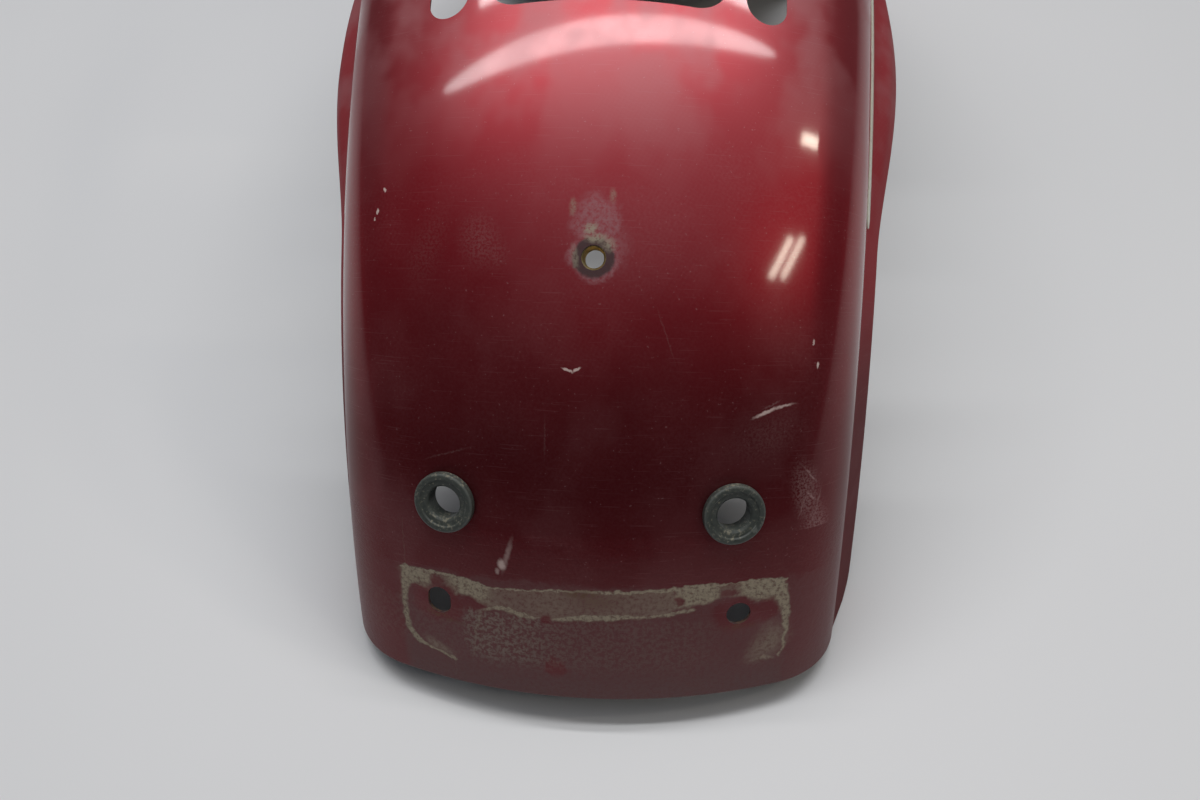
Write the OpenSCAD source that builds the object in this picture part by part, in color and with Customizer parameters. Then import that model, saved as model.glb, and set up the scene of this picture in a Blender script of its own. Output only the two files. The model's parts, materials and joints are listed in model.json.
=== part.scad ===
// Pressed-steel rear fender of a cruiser motorcycle, with its rubbers, welded nuts and stripes.
// It stands on the lower corners of its skirts. X is right, Y is forward, Z is up.
// The shell is an arc about the wheel axle: each station of the arc carries one cross-section.

/* [Arc of the shell] */
// Radius of the crown line about the wheel axle
crown_r = 355; // [320:1:400]
// Angle of the trailing edge above the axle
tail_angle = 15; // [9:0.5:24]

/* [Cross-section] */
// Radius across the crown
across_r = 240; // [215:1:300]
// Radius of the shoulder, from the crown to the crease
shoulder_r = 41; // [30:0.5:50]
// Steepness at the crease, where the skirt starts
crease_angle = 86; // [80:0.5:89]
// Half width at the crease, at the trailing edge
tail_half_w = 112; // [104:0.5:120]
// Half width at the crease, at the top of the arc
top_half_w = 117; // [108:0.5:124]
// Half width at the crease, at the front edge
front_half_w = 106; // [98:0.5:118]
// Height of the skirt below the crease
skirt_h = 32.5; // [27:0.5:45]
// Outward lean of the skirt
skirt_lean = 18; // [8:0.5:24]
// Radius of the skirt's lower corners
corner_r = 17; // [8:0.5:18]
// Thickness of the sheet
skin_t = 1.6; // [1.2:0.1:2.5]
// Thickness that the folded hem adds inside
hem_t = 1.4; // [0.8:0.1:2]
// Width of the hem
hem_w = 8; // [6:0.5:12]
// Width over which the hem thickens the sheet
hem_ramp = 0.8; // [0.4:0.1:1.5]

/* [Side blisters] */
// Angle of the blister's middle above the axle
blister_angle = 67.5; // [60:0.5:75]
// Angle that the blister spans
blister_span = 35; // [26:0.5:44]
// How far the blister stands out from the skirt
blister_out = 6.4; // [4:0.2:9]

/* [Holes] */
// Distance up the crown from the trailing edge to the seat bolt
seat_up = 202; // [185:1:215]
// Hole in the skin over the seat nut
seat_hole_d = 10; // [9:0.1:12]
// Distance up the crown from the trailing edge to the grommets
grommet_up = 96.5; // [85:0.5:120]
// Spacing of the grommets
grommet_gap = 120; // [100:1:132]
// Distance up the crown from the trailing edge to the plate bracket's holes
bracket_up = 46; // [30:0.5:60]
// Spacing of the plate bracket's holes
bracket_gap = 130; // [110:1:140]
// Diameter of the plate bracket's holes
bracket_hole_d = 10.8; // [8:0.1:12]
// Travel of the slotted hole on the left
bracket_slot = 2.4; // [1:0.1:5]
// Diameter of the two front bolt holes
front_hole_d = 8.6; // [7:0.1:10]
// Distance up the crown from the front edge to the front bolt holes
front_up = 30; // [20:1:45]
// Spacing of the front bolt holes
front_gap = 96; // [70:1:120]

/* [Seat opening] */
// Angle of the opening's rear edge above the axle
opening_angle = 65.2; // [62:0.2:70]
// Width of the opening
opening_w = 102; // [80:1:104]
// Length of the opening
opening_l = 158; // [110:1:180]
// Corner radius of the opening
opening_r = 14; // [6:1:24]
// Width of the two strap slots beside the opening
strap_w = 17; // [10:0.5:20]
// Length of the strap slots
strap_l = 40; // [30:1:60]
// Web of sheet between the opening and a strap slot
strap_web = 7; // [5:0.5:10]

/* [Grommets] */
// Outer diameter of a grommet
grommet_d = 26.5; // [24:0.1:30]
// Bore of a grommet
grommet_bore_d = 14.4; // [10:0.1:15]
// Diameter of the hole that a grommet sits in
grommet_hole_d = 20; // [18:0.1:21]
// Height of the flange above the skin
grommet_flange_h = 4.2; // [3:0.1:6]
// Height of the flange inside the shell
grommet_inner_h = 2.6; // [1.5:0.1:4]
// How far the inner flange stays inside the outer one's rim
grommet_inner_step = 1; // [0.5:0.1:2]
// Gap between the rubber and the sheet
rubber_gap = 0.3; // [0.25:0.05:0.5]

/* [Welded nuts and plates] */
// Thread size of the seat nut and the strut nuts
nut_thread_d = 8; // [6:0.5:9]
// Width of the nuts across their flats
nut_flats = 13; // [12:0.5:15]
// Height of the nuts' hexagon
nut_h = 6.5; // [5:0.5:8]
// Diameter of the nuts' weld flange
nut_flange_d = 19; // [16:0.5:22]
// Thickness of the nuts' weld flange
nut_flange_h = 1.5; // [1:0.1:2.5]
// How far the seat nut's pilot is wider than the seat hole, to each side
pilot_step = 2; // [1.2:0.1:2.5]
// Thickness of the plates inside the shell
plate_t = 2; // [1.5:0.1:3]
// Length of the seat plate along the arc
seat_plate_l = 56; // [44:1:70]
// Width of the seat plate
seat_plate_w = 64; // [44:1:80]
// Angle that each strut plate spans
strut_plate_span = 30; // [20:0.5:40]
// Height of each strut plate
strut_plate_h = 19; // [17:0.5:24]
// Fitting gap between a welded piece and its seat
weld_gap = 0.3; // [0.2:0.05:0.4]
// Clearance of a hole round what passes through it
hole_clear = 0.6; // [0.3:0.1:1]

/* [Wiring clips] */
// Number of wiring clips under the crown
clip_count = 3; // [1:1:4]
// Distance up the crown from the trailing edge to the first clip
clip_up = 84; // [70:1:100]
// Distance along the crown from clip to clip
clip_pitch = 78; // [60:1:80]
// Distance of the clips from the middle
clip_x = 34; // [28:1:50]
// Inner diameter of a clip's loop
clip_loop_d = 9; // [6:0.5:12]
// Width of a clip
clip_w = 10; // [6:0.5:14]
// Thickness of a clip's strip
clip_t = 1.2; // [0.8:0.1:2]

/* [Pinstripes] */
// Width of a pinstripe
stripe_w = 2.4; // [1.5:0.1:4]
// Thickness of a pinstripe above the paint
stripe_t = 0.35; // [0.2:0.05:0.5]
// Distance of the stripe's middle below the crease
stripe_drop = 3.4; // [2.5:0.1:6]
// Angle of the stripe's rear tip above the axle
stripe_angle = 51.6; // [40:0.2:58]
// Length of the stripe's tapered tip
stripe_tip_l = 5; // [3:0.5:12]
// Flat sheet left below a stripe, before the blister starts
stripe_margin = 0.6; // [0.3:0.1:1]

/* [Hidden] */

paint = "#6e1620";
rubber = "#3b4640";
zinc = "#b89a55";
cream = "#c9c7b4";
primer = "#33302e";

// How finely the arc and the section are divided
mid_steps = 40;
corner_steps = 6;
crown_steps = 9;
shoulder_steps = 8;
skirt_steps = 3;
// Reach of a cutter through the sheet, to each side
cut_reach = 12;
$fn = 64;

function smooth(t) =
    let (c = min(1, max(0, t)))
    c * c * (3 - 2 * c);

// Half width at the crease, at an angle round the arc
function half_w(angle) =
    angle < 90
        ? tail_half_w + (top_half_w - tail_half_w) * smooth((angle - tail_angle) / (90 - tail_angle))
        : top_half_w + (front_half_w - top_half_w) * smooth((angle - 90) / (90 - tail_angle));

// Where the shoulder arc has its centre, for a half width: [x, depth, angle at which it starts]
function shoulder(w) =
    let (x = w - shoulder_r * sin(crease_angle))
    let (start = asin(x / (across_r - shoulder_r)))
    [x, across_r - (across_r - shoulder_r) * cos(start), start];

// Flat band below the crease, where the stripe lies; a short skirt has less of it
stripe_band = stripe_drop + stripe_w / 2 + stripe_margin;
function band(len) = min(stripe_band, 0.3 * len);

// How far the blister stands out at an angle and a distance below the crease
function bulge(angle, drop) =
    let (u = min(1, abs(angle - blister_angle) / (blister_span / 2)))
    blister_out * pow(1 - u * u, 2) * smooth((drop - stripe_band) / (0.6 * skirt_h - stripe_band));

// A point of the outer skirt: [x, depth below the crown line]
function skirt_point(angle, drop) =
    let (w = half_w(angle))
    let (s = shoulder(w))
    [w + drop * sin(skirt_lean), s[1] - shoulder_r * cos(crease_angle) + drop * cos(skirt_lean)];

// Outward normal of the plain skirt
skirt_n = [cos(skirt_lean), -sin(skirt_lean)];

function add_bulge(p, angle, drop) = [p[0] + bulge(angle, drop), p[1]];

// Length of the skirt at a distance from the shell's end: the lower corners are round
function skirt_len(from_end) =
    let (s = min(corner_r, from_end))
    skirt_h - corner_r + sqrt(corner_r * corner_r - pow(corner_r - s, 2));

// The section's drops below the crease, down to the edge
function skirt_drops(len) =
    let (top = band(len), hem = max(0.6 * len, len - hem_w))
    concat(
        [for (i = [0:skirt_steps]) top + (hem - hem_ramp - top) * i / skirt_steps],
        [hem, len]);

// Right half of the outer section, from the middle to the skirt's edge
function half_section(angle, len) =
    let (w = half_w(angle))
    let (s = shoulder(w))
    concat(
        [for (i = [0:crown_steps])
            let (a = s[2] * i / crown_steps)
            [across_r * sin(a), across_r * (1 - cos(a))]],
        [for (i = [1:shoulder_steps])
            let (a = s[2] + (crease_angle - s[2]) * i / shoulder_steps)
            [s[0] + shoulder_r * sin(a), s[1] - shoulder_r * cos(a)]],
        [for (d = skirt_drops(len)) add_bulge(skirt_point(angle, d), angle, d)]);

function mirrored(half) = concat([for (i = [len(half) - 1:-1:1]) [-half[i][0], half[i][1]]], half);

// Outward normal of a section at point i, from its neighbours
function normal_at(sec, i) =
    let (a = sec[max(0, i - 1)], b = sec[min(len(sec) - 1, i + 1)])
    let (t = b - a)
    [t[1], -t[0]] / norm(t);

// The section moved inward by a thickness for each point
function offset_section(sec, thick) = [for (i = [0:len(sec) - 1]) sec[i] - thick[i] * normal_at(sec, i)];

// Thickness over the section: the hem is at both skirt edges, and all along the shell's two ends
function thick_at(sec, from_end) =
    let (last = len(sec) - 1)
    [for (i = [0:last]) skin_t + ((i < 2 || i > last - 2 || from_end < hem_w) ? hem_t : 0)];

// Angle of the front edge: its skirt corners reach the same floor as those of the tail
tail_reach = crown_r - skirt_point(tail_angle, skirt_len(0))[1];
depth_change = shoulder(front_half_w)[1] - shoulder(tail_half_w)[1];
front_angle = 180 - asin(tail_reach * sin(tail_angle) / (tail_reach - depth_change));

function arc_mm(angle) = crown_r * angle * PI / 180;
function arc_angle(mm) = mm / crown_r * 180 / PI;

// Angles round the arc: close together at both rounded ends, even between them
corner_stops = [for (i = [0:corner_steps]) arc_angle(corner_r * (1 - cos(90 * i / corner_steps)))];
mid_from = tail_angle + corner_stops[corner_steps];
mid_to = front_angle - corner_stops[corner_steps];
stations = concat(
    [for (a = corner_stops) tail_angle + a],
    [for (i = [1:mid_steps - 1]) mid_from + (mid_to - mid_from) * i / mid_steps],
    [for (i = [corner_steps:-1:0]) front_angle - corner_stops[i]]);

function from_end(angle) = arc_mm(min(angle - tail_angle, front_angle - angle));

// Lowest point of the skirts' rounded corners: the floor lies there
function edge_inner(angle) =
    let (l = skirt_len(from_end(angle)))
    skirt_point(angle, l)[1] + (skin_t + hem_t) * sin(skirt_lean);
axle_z = -min([for (a = stations) (crown_r - edge_inner(a)) * sin(a)]);
axle_y = crown_r * (cos(tail_angle) + cos(front_angle)) / 2;

// A point of a section, put at its angle round the axle
function on_arc(p, angle) =
    [p[0], axle_y - (crown_r - p[1]) * cos(angle), axle_z + (crown_r - p[1]) * sin(angle)];

// Faces of a solid made of equal closed rings of points, with both ends closed by strips
function ring_faces(n, rings) = concat(
    [for (r = [0:rings - 2], i = [0:n - 1], k = [0, 1])
        let (j = (i + 1) % n, a = r * n, b = (r + 1) * n)
        k == 0 ? [a + i, b + i, a + j] : [a + j, b + i, b + j]],
    [for (e = [0, rings - 1], i = [0:n / 2 - 2], k = [0, 1])
        let (s = e * n, p = s + i, q = s + i + 1, u = s + n - 1 - i, v = s + n - 2 - i)
        let (f = k == 0 ? [p, q, u] : [q, v, u])
        e == 0 ? f : [f[2], f[1], f[0]]]);

module lofted(rings) {
    points = [for (r = rings) each r];
    polyhedron(points = points, faces = ring_faces(len(rings[0]), len(rings)), convexity = 6);
}

function reversed(v) = [for (i = [len(v) - 1:-1:0]) v[i]];

// One closed section of the sheet: outside from edge to edge, then back along the inside
function shell_ring(angle) =
    let (f = from_end(angle))
    let (outer = mirrored(half_section(angle, skirt_len(f))))
    let (inner = offset_section(outer, thick_at(outer, f)))
    [for (p = concat(outer, reversed(inner))) on_arc(p, angle)];

// Children stand on the crown at x and at a distance up from the trailing edge, with Z outward
module on_crown(x, angle) {
    translate([0, axle_y, axle_z])
        rotate([90 - angle, 0, 0])
            translate([0, 0, crown_r - across_r])
                rotate([0, asin(x / across_r), 0])
                    translate([0, 0, across_r])
                        children();
}

// Children stand on the flat of a skirt, with Z outward; side is 1 on the right and -1 on the left
module on_skirt(side, angle, drop) {
    p = skirt_point(angle, drop);
    translate([0, axle_y, axle_z])
        rotate([90 - angle, 0, 0])
            translate([side * p[0], 0, crown_r - p[1]])
                rotate([0, side * (90 - skirt_lean), 0])
                    children();
}

bracket_angle = tail_angle + arc_angle(bracket_up);
grommet_angle = tail_angle + arc_angle(grommet_up);
seat_angle = tail_angle + arc_angle(seat_up);
front_hole_angle = front_angle - arc_angle(front_up);
opening_y = axle_y - crown_r * cos(opening_angle);
strut_drop = (skirt_h - hem_w + hem_ramp) / 2;

module cutter(d) {
    cylinder(h = 2 * cut_reach, d = d, center = true);
}

module slot_cutter(d, travel) {
    for (s = [-1, 1]) translate([0, s * travel / 2, 0]) cutter(d);
    cube([d, travel, 2 * cut_reach], center = true);
}

// The opening under the seat and the strap slots beside it, cut straight down
module seat_cuts() {
    translate([0, opening_y, axle_z + crown_r / 2]) linear_extrude(height = crown_r) {
        translate([-opening_w / 2 + opening_r, opening_r])
            offset(r = opening_r) square([opening_w - 2 * opening_r, opening_l - 2 * opening_r]);
        for (s = [-1, 1]) translate([s * (opening_w / 2 + strap_web + strap_w / 2), strap_w / 2]) {
            circle(d = strap_w);
            translate([-strap_w / 2, 0]) square([strap_w, strap_l - strap_w]);
            translate([0, strap_l - strap_w]) circle(d = strap_w);
        }
    }
}

module fender_shell() {
    color(paint) difference() {
        lofted([for (a = stations) shell_ring(a)]);
        on_crown(0, seat_angle) cutter(seat_hole_d);
        for (s = [-1, 1]) on_crown(s * grommet_gap / 2, grommet_angle) cutter(grommet_hole_d);
        on_crown(bracket_gap / 2, bracket_angle) cutter(bracket_hole_d);
        on_crown(-bracket_gap / 2, bracket_angle) slot_cutter(bracket_hole_d, bracket_slot);
        for (s = [-1, 1]) on_crown(s * front_gap / 2, front_hole_angle) cutter(front_hole_d);
        seat_cuts();
    }
}

// A stripe follows the skirt just below the crease and ends in a point at the back
stripe_to = mid_to + arc_angle(hem_ramp);

module pinstripe(side) {
    function stripe_ring(angle) =
        let (along = arc_mm(min(angle - stripe_angle, stripe_to - angle)))
        let (half = stripe_w / 2 * max(tip_part, sqrt(min(1, along / stripe_tip_l))))
        let (low = skirt_point(angle, stripe_drop - half), high = skirt_point(angle, stripe_drop + half))
        [for (p = [low + skirt_n * weld_gap, high + skirt_n * weld_gap,
                high + skirt_n * (weld_gap + stripe_t), low + skirt_n * (weld_gap + stripe_t)])
            on_arc([side * p[0], p[1]], angle)];
    // Width left at the very tip, as a part of the stripe's width
    tip_part = 0.12;
    spacing = 0.2;
    tips = [for (t = [0, 0.15, 0.45, 1]) stripe_angle + t * arc_angle(stripe_tip_l)];
    angles = concat(tips, [for (a = stations) if (a > tips[3] + spacing && a <= stripe_to) a], [stripe_to]);
    rings = [for (a = angles) stripe_ring(a)];
    color(cream) lofted(side > 0 ? reversed(rings) : rings);
}

module pinstripe_left() {
    pinstripe(-1);
}

module pinstripe_right() {
    pinstripe(1);
}

// Rubber with a groove round it: the sheet lies in the groove
module grommet(side) {
    rim_r = grommet_d / 2;
    bore_r = grommet_bore_d / 2;
    neck_r = grommet_hole_d / 2 - rubber_gap;
    inner_r = rim_r - grommet_inner_step;
    chamfer = 1;
    lip = 1.6;
    flat = 1;
    dish = 0.9;
    // The sheet curves away under the flange by this much at its rim
    fall = pow(rim_r, 2) / (2 * across_r);
    seat = -skin_t - rubber_gap - fall;
    on_crown(side * grommet_gap / 2, grommet_angle)
        color(rubber) rotate_extrude($fn = 72) polygon(concat(
            [[bore_r, seat - grommet_inner_h],
                [inner_r - chamfer, seat - grommet_inner_h],
                [inner_r, seat - grommet_inner_h + chamfer],
                [inner_r, seat],
                [neck_r, seat],
                [neck_r, rubber_gap],
                [rim_r, rubber_gap]],
            [for (a = [0:30:90]) [rim_r - lip + lip * cos(a), grommet_flange_h - lip + lip * sin(a)]],
            [[rim_r - lip - flat, grommet_flange_h],
                [bore_r + chamfer, grommet_flange_h - dish],
                [bore_r, grommet_flange_h - dish - chamfer]]));
}

module grommet_left() {
    grommet(-1);
}

module grommet_right() {
    grommet(1);
}

// Weld nut: the hexagon hangs below the flange, which lies at z = 0
module weld_nut(pilot_d, pilot_h) {
    color(zinc) difference() {
        union() {
            translate([0, 0, -nut_flange_h]) cylinder(h = nut_flange_h, d = nut_flange_d);
            translate([0, 0, -nut_flange_h - nut_h])
                cylinder(h = nut_h + nut_flange_h / 2, d = nut_flats / cos(30), $fn = 6);
            if (pilot_h > 0) cylinder(h = pilot_h, d = pilot_d);
        }
        cylinder(h = 2 * (nut_h + cut_reach), d = nut_thread_d, center = true);
    }
}

// The nut's pilot passes through the seat plate and stops under the skin
pilot_d = seat_hole_d + 2 * pilot_step;

module seat_nut() {
    plate_under = skin_t + 2 * weld_gap + plate_t;
    on_crown(0, seat_angle)
        translate([0, 0, -plate_under - weld_gap])
            weld_nut(pilot_d, plate_under - skin_t - weld_gap / 2);
}

// A plate that follows the inside of the crown
module seat_plate() {
    steps = 5;
    half = arc_angle(seat_plate_l / 2);
    top = skin_t + weld_gap;
    side = asin(seat_plate_w / 2 / across_r);
    function plate_ring(angle) =
        let (row = [for (i = [0:steps]) side * (2 * i / steps - 1)])
        [for (p = concat(
                [for (a = row) [(across_r - top) * sin(a), across_r - (across_r - top) * cos(a)]],
                [for (a = reversed(row))
                    [(across_r - top - plate_t) * sin(a), across_r - (across_r - top - plate_t) * cos(a)]]))
            on_arc(p, angle)];
    color(primer) difference() {
        lofted([for (i = [0:steps]) plate_ring(seat_angle - half + 2 * half * i / steps)]);
        on_crown(0, seat_angle) cutter(pilot_d + 2 * hole_clear);
    }
}

// A plate that bridges the inside of a blister, held by the flat skirt round it
module strut_plate(side) {
    steps = 10;
    half = strut_plate_span / 2;
    low = strut_drop - strut_plate_h / 2;
    near = skin_t + weld_gap;
    far = near + plate_t;
    function plate_ring(angle) =
        let (a = skirt_point(angle, low), b = skirt_point(angle, low + strut_plate_h))
        [for (p = [a - skirt_n * near, b - skirt_n * near, b - skirt_n * far, a - skirt_n * far])
            on_arc([side * p[0], p[1]], angle)];
    rings = [for (i = [0:steps]) plate_ring(blister_angle - half + 2 * half * i / steps)];
    color(primer) difference() {
        lofted(side > 0 ? rings : reversed(rings));
        on_skirt(side, blister_angle, strut_drop) cutter(nut_thread_d + hole_clear);
    }
}

module strut_plate_left() {
    strut_plate(-1);
}

module strut_plate_right() {
    strut_plate(1);
}

module strut_nut(side) {
    on_skirt(side, blister_angle, strut_drop)
        translate([0, 0, -skin_t - 2 * weld_gap - plate_t - weld_gap])
            weld_nut(0, 0);
}

module strut_nut_left() {
    strut_nut(-1);
}

module strut_nut_right() {
    strut_nut(1);
}

// A strip with a flat foot, bent into an open loop that held the wiring
clip_loop_r = clip_loop_d / 2 + clip_t;
clip_half = (clip_w + clip_loop_r) / 2;

module wiring_clip() {
    mouth_turn = 20;
    color(primer) rotate([90, 0, 0]) linear_extrude(height = clip_w, center = true) {
        translate([-clip_half, -clip_t]) square([clip_w, clip_t]);
        translate([clip_w - clip_half, -clip_loop_r]) difference() {
            circle(r = clip_loop_r);
            circle(d = clip_loop_d);
            rotate(mouth_turn) square(2 * clip_loop_r);
        }
    }
}

module wiring_clips() {
    // The inside of the crown falls away from a flat foot by this much at its ends
    fall = pow(clip_half, 2) / (2 * across_r);
    for (i = [0:clip_count - 1])
        on_crown(clip_x, tail_angle + arc_angle(clip_up + i * clip_pitch))
            translate([0, 0, -skin_t - weld_gap - fall])
                wiring_clip();
}

fender_shell();
pinstripe_left();
pinstripe_right();
grommet_left();
grommet_right();
seat_nut();
seat_plate();
strut_plate_left();
strut_plate_right();
strut_nut_left();
strut_nut_right();
wiring_clips();
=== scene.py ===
import json
import math

import bmesh
import bpy
from bpy.props import FloatProperty, FloatVectorProperty, IntProperty, PointerProperty
from mathutils import Matrix, Vector

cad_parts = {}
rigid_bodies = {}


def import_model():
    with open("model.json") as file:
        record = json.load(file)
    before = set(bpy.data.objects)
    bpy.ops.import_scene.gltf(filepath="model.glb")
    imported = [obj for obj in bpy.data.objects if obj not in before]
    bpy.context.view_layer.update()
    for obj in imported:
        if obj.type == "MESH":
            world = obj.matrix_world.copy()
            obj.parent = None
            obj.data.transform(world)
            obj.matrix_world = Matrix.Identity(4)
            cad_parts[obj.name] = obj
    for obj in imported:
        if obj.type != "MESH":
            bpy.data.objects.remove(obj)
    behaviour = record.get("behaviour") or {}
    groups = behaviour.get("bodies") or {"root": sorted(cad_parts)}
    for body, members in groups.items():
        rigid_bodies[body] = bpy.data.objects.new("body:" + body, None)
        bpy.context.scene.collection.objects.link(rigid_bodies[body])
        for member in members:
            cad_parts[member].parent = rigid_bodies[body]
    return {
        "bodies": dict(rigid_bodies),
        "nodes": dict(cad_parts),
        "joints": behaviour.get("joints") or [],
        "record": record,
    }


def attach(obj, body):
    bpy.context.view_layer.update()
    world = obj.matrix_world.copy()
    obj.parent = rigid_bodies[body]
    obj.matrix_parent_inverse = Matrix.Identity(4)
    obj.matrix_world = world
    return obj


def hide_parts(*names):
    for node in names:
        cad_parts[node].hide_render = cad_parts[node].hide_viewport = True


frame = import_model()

bl_info = {
    "name": "Rear fender looks",
    "version": (1, 0, 0),
    "blender": (4, 5, 0),
    "location": "3D View > Sidebar > Fender",
    "description": "Builds the worn, lacquered look of a motorcycle rear fender around its packed CAD frame",
    "category": "Object",
}

MM = 0.001
NAMES = ("left", "right")

# Sizes in millimetres and degrees, the same as in the part's source
CROWN_R = 355.0
TAIL_ANGLE = 15.0
ACROSS_R = 240.0
SHOULDER_R = 41.0
CREASE_ANGLE = 86.0
TAIL_HALF_W = 112.0
TOP_HALF_W = 117.0
FRONT_HALF_W = 106.0
SKIRT_H = 32.5
SKIRT_LEAN = 18.0
CORNER_R = 17.0
SKIN_T = 1.6
HEM_T = 1.4
HEM_W = 8.0
HEM_RAMP = 0.8
BLISTER_ANGLE = 67.5
BLISTER_SPAN = 35.0
BLISTER_OUT = 6.4
SEAT_UP = 202.0
SEAT_HOLE_D = 10.0
GROMMET_UP = 96.5
GROMMET_GAP = 120.0
BRACKET_UP = 46.0
BRACKET_GAP = 130.0
BRACKET_HOLE_D = 10.8
BRACKET_SLOT = 2.4
FRONT_HOLE_D = 8.6
FRONT_UP = 30.0
FRONT_GAP = 96.0
OPENING_ANGLE = 65.2
OPENING_W = 102.0
OPENING_L = 158.0
OPENING_R = 14.0
STRAP_W = 17.0
STRAP_L = 40.0
STRAP_WEB = 7.0
GROMMET_D = 26.5
GROMMET_BORE_D = 14.4
GROMMET_HOLE_D = 20.0
GROMMET_FLANGE_H = 4.2
GROMMET_INNER_H = 2.6
GROMMET_INNER_STEP = 1.0
RUBBER_GAP = 0.3
NUT_THREAD_D = 8.0
NUT_FLATS = 13.0
NUT_H = 6.5
NUT_FLANGE_D = 19.0
NUT_FLANGE_H = 1.5
PILOT_STEP = 2.0
PLATE_T = 2.0
SEAT_PLATE_L = 56.0
SEAT_PLATE_W = 64.0
STRUT_PLATE_SPAN = 30.0
STRUT_PLATE_H = 19.0
WELD_GAP = 0.3
HOLE_CLEAR = 0.6
CLIP_COUNT = 3
CLIP_UP = 84.0
CLIP_PITCH = 78.0
CLIP_X = 34.0
CLIP_LOOP_D = 9.0
CLIP_W = 10.0
CLIP_T = 1.2
STRIPE_W = 2.4
STRIPE_DROP = 3.4
STRIPE_ANGLE = 51.6
STRIPE_TIP_L = 5.0
STRIPE_MARGIN = 0.6
STRIPE_BAND = STRIPE_DROP + STRIPE_W / 2 + STRIPE_MARGIN
STRUT_DROP = (SKIRT_H - HEM_W + HEM_RAMP) / 2

# Small steps and edges that only the looks have, in millimetres, degrees and shares
GROMMET_CHAMFER = 1.0
NUT_CHAMFER_H = 0.8
NUT_CHAMFER_SHARE = 1.03
NUT_EDGE = 0.3
PILOT_EDGE = 0.4
CLIP_BEND = 290
# Width of a stripe's film and its middle below the crease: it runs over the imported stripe, up to the crease
FILM_SPAN = 5.0
FILM_DROP = 2.5
# The film's section: (share of the half width, share of the height)
FILM_SECTION = ((-1.0, 0.1), (-1.0, 0.65), (-0.8, 1.0), (0.8, 1.0), (1.0, 0.65), (1.0, 0.1))

# How finely the shell and the stripes are divided
CROWN_N = 24
SHOULDER_N = 18
CREASE_N = 4
SKIRT_N = 10
EDGE_N = 4
CORNER_N = 14
STRIPE_N = 330
# Share of the stripe's length over which its first sections lie closer together
STRIPE_START = 0.03

# Order of the shell's materials
BODY, UNDERSIDE, CUT_EDGE, TAIL, SEAT, SKIRT = range(6)
# Where the tail's mud and the seat bolt's print end, in millimetres up and across the crown
TAIL_ZONE = 84.0
SEAT_ZONE = (-24.0, 24.0, SEAT_UP - 22.0, SEAT_UP + 44.0)
# How many millimetres past the crease the skirt's material starts
SKIRT_FROM = 0.4
# Shares of metal and of clear coat in the lacquer
METAL = 0.72
SKIRT_METAL = 0.3
SKIRT_COAT = 0.1
# The curves hold places as shares of the first of these, and half widths as shares of the second
CURVE_SPAN = 200.0
WIDTH_SPAN = 20.0

# The photo's camera: its axes, and its place from the axle in millimetres
CAMERA_RIGHT = Vector((0.99752, 0.06706, -0.02110))
CAMERA_UP = Vector((-0.03647, 0.75010, 0.66032))
CAMERA_BACK = Vector((0.06011, -0.65792, 0.75069))
CAMERA_PLACE = (35.8, -622.9, 613.8)

# Floor and lamps, in metres and degrees: heights, and (name, x, y, size, turn) of the small warm lamps
FLOOR_Z = -0.0003
TOP_LAMP_Z = 2.2
LAMP_Z = 1.9
SMALL_LAMPS = (
    ("small_a", 1.85, -1.40, (0.10, 0.44), -10.6),
    ("small_b", 2.035, -1.38, (0.10, 0.46), -9.0),
    ("small_c", 1.77, -0.37, (0.30, 0.09), 8.5),
)


def sizes():
    return bpy.context.scene.fender_sizes


def sind(a):
    return math.sin(math.radians(a))


def cosd(a):
    return math.cos(math.radians(a))


def smooth(t):
    c = min(1.0, max(0.0, t))
    return c * c * (3 - 2 * c)


def arc_mm(angle):
    return CROWN_R * math.radians(angle)


def arc_angle(mm):
    return math.degrees(mm / CROWN_R)


def half_w(angle):
    rise = 90 - TAIL_ANGLE
    if angle < 90:
        return TAIL_HALF_W + (TOP_HALF_W - TAIL_HALF_W) * smooth((angle - TAIL_ANGLE) / rise)
    return TOP_HALF_W + (FRONT_HALF_W - TOP_HALF_W) * smooth((angle - 90) / rise)


def shoulder(w):
    """Centre of the shoulder's arc (x, depth) and the steepness at which it starts."""
    x = w - SHOULDER_R * sind(CREASE_ANGLE)
    start = math.degrees(math.asin(x / (ACROSS_R - SHOULDER_R)))
    return x, ACROSS_R - (ACROSS_R - SHOULDER_R) * cosd(start), start


def bulge(angle, drop):
    u = min(1.0, abs(angle - BLISTER_ANGLE) / (BLISTER_SPAN / 2))
    rise = smooth((drop - STRIPE_BAND) / (0.6 * SKIRT_H - STRIPE_BAND))
    return BLISTER_OUT * (1 - u * u) ** 2 * rise


def skirt_point(angle, drop):
    w = half_w(angle)
    depth = shoulder(w)[1] - SHOULDER_R * cosd(CREASE_ANGLE)
    return w + drop * sind(SKIRT_LEAN), depth + drop * cosd(SKIRT_LEAN)


def skirt_len(from_end):
    s = min(CORNER_R, max(0.0, from_end))
    return SKIRT_H - CORNER_R + math.sqrt(CORNER_R**2 - (CORNER_R - s) ** 2)


TAIL_REACH = CROWN_R - skirt_point(TAIL_ANGLE, skirt_len(0))[1]
DEPTH_CHANGE = shoulder(FRONT_HALF_W)[1] - shoulder(TAIL_HALF_W)[1]
FRONT_ANGLE = 180 - math.degrees(math.asin(TAIL_REACH * sind(TAIL_ANGLE) / (TAIL_REACH - DEPTH_CHANGE)))
SEAT_ANGLE = TAIL_ANGLE + arc_angle(SEAT_UP)
GROMMET_ANGLE = TAIL_ANGLE + arc_angle(GROMMET_UP)
BRACKET_ANGLE = TAIL_ANGLE + arc_angle(BRACKET_UP)
FRONT_HOLE_ANGLE = FRONT_ANGLE - arc_angle(FRONT_UP)


def from_end(angle):
    return arc_mm(min(angle - TAIL_ANGLE, FRONT_ANGLE - angle))


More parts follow.
